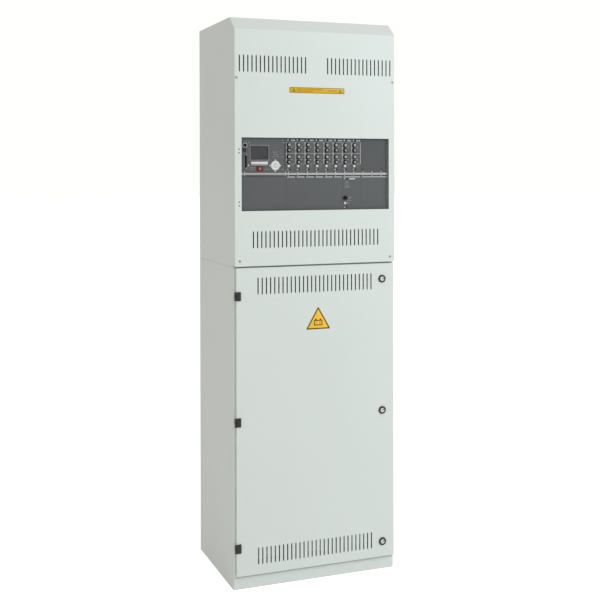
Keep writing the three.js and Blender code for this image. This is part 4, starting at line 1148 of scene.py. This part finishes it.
def terminal_blocks():
    """Rows of rail-mounted terminals with clamp screws, on their mounting bar."""
    strip = Span("terminal_strip")
    front, bar = 130, 168
    pitch, half = 6, 2.85
    bodies = [slab(strip.x0, strip.x1, bar, bar + 8, strip.z - 18, strip.z + 18, 0.8)]
    screws = []
    for foot in (-250, 250):
        bodies.append(slab(foot - 10, foot + 10, bar + 7, strip.y1, strip.z - 12, strip.z + 12, 0.8))
    for block in range(12):
        middle = (block - 5.5) * 40
        for k in range(6):
            x = middle + (k - 2.5) * pitch
            bodies.append(slab(x - half, x + half, front + 6, bar + 1, strip.z - 27, strip.z + 27, 0.4, 1))
            bodies.append(slab(x - half, x + half, front, front + 20, strip.z - 13, strip.z + 13, 0.4, 1))
            for side in (-1, 1):
                screws.append(stack([(2.1, 0), (2.1, -0.6), (1.8, -0.8), (0, -0.8)],
                                    (x, front + 6, strip.z + side * 20), sides=12))
    piece("terminal_blocks", terminal_plastic, bodies, replaces="terminal_strip")
    piece("terminal_screws", turned_steel, screws)


def rear_fixings():
    """Both rear panels with softened edges, and the screws round them."""
    for name, node, rows in (("lower", "lower_back_panel", 5), ("upper", "upper_back_panel", 4)):
        panel = Span(node)
        sheet = slab(panel.x0, panel.x1, panel.y0, panel.y1 - 0.8, panel.z0, panel.z1, 0.5)
        piece(f"rear_panel_{name}", cabinet_paint, [sheet], replaces=node)
        heads = []
        margin = 24
        for k in range(rows):
            z = panel.z0 + margin + k * (panel.z1 - panel.z0 - 2 * margin) / (rows - 1)
            for side in (-1, 1):
                heads.append(screw(side * (panel.x1 - 9), panel.y1 - 1.2, z, 3.6, 1.2, front=1))
        piece(f"rear_screws_{name}", turned_steel, heads)


# ---- stage

def studio():
    """A white surround that is darker beside the object than in front of it, one soft key light from
    the front right, and a pale floor."""
    world = bpy.data.worlds.new("studio")
    bpy.context.scene.world = world
    world.use_nodes = True
    tree = world.node_tree
    background = tree.nodes["Background"]
    background.inputs["Color"].default_value = (1.0, 0.98, 0.935, 1)
    place = tree.nodes.new("ShaderNodeTexCoord").outputs["Generated"]
    split = tree.nodes.new("ShaderNodeSeparateXYZ")
    tree.links.new(place, split.inputs["Vector"])
    ahead = map_range(tree, split.outputs["Y"], 0, 1, start=-1)
    levels = ((0.0, 0.66), (0.5, 0.33), (0.84, 0.25), (1.0, 0.85))    # front, side, back corner, back
    belt = colour_ramp(tree, ahead.outputs["Result"], [(at, (level,) * 3) for at, level in levels])
    overhead = tree.nodes.new("ShaderNodeMath")
    overhead.operation = "MULTIPLY_ADD"
    overhead.inputs[1].default_value = 0.6
    tree.links.new(split.outputs["Z"], overhead.inputs[0])
    tree.links.new(belt, overhead.inputs[2])
    seen = tree.nodes.new("ShaderNodeLightPath").outputs["Is Camera Ray"]
    strength = map_range(tree, seen, 0, 1.05)
    tree.links.new(overhead.outputs["Value"], strength.inputs["To Min"])
    tree.links.new(strength.outputs["Result"], background.inputs["Strength"])

    key = bpy.data.lights.new("key", "AREA")
    key.shape = "RECTANGLE"
    key.size, key.size_y = 2.4, 2.2
    key.energy = 100
    key.color = (0.85, 0.965, 1.0)
    lamp = put("key", key)
    lamp.location = (2.9, -3.2, 3.0)
    upper_front = Vector((0, 0, 1.35))
    aim = upper_front - lamp.location
    lamp.rotation_euler = aim.to_track_quat("-Z", "Y").to_euler()

    bm = bmesh.new()
    bmesh.ops.create_grid(bm, x_segments=1, y_segments=1, size=60)
    mesh = mesh_of("floor", bm)
    floor = put("floor", mesh)
    s = Surface("floor", specular=0.1, roughness=0.7)
    s.tint(s.noise(0.8), (0.8, 0.8, 0.8), 0.004)
    s.shader.inputs["Emission Color"].default_value = (1, 1, 1, 1)
    glow = map_range(s.tree, s.node("ShaderNodeLightPath").outputs["Is Camera Ray"], 0.22, 0.66)
    s.link(glow.outputs["Result"], s.shader.inputs["Emission Strength"])
    mesh.materials.append(s.material)


def camera():
    """Eye level a little above the middle of the cabinet, about 21 degrees round to its left."""
    lens = bpy.data.cameras.new("camera")
    lens.sensor_width = 36
    lens.lens = 62.967
    lens.shift_y = -0.20744
    lens.clip_end = 200
    made = put("camera", lens)
    yaw, pitch, roll = (math.radians(a) for a in (20.88, -0.175, -0.115))
    made.matrix_world = (Matrix.Translation((-1.4454, -3.8466, 1.5132))
                         @ Matrix.Rotation(-yaw, 4, "Z")
                         @ Matrix.Rotation(math.pi / 2 + pitch, 4, "X")
                         @ Matrix.Rotation(roll, 4, "Z"))
    bpy.context.scene.camera = made


studio()
camera()
bpy.context.scene.view_settings.view_transform = "Standard"
dress_frame()
hinges()
locks()
door_sign()
battery_strings()
seam_shade_strips()
cover_fixings()
cover_strip()
display()
softkey()
red_key()
navigation()
sockets()
control_marks()
circuit_modules()
charger()
rail_fittings()
panel_trims()
terminal_blocks()
rear_fixings()
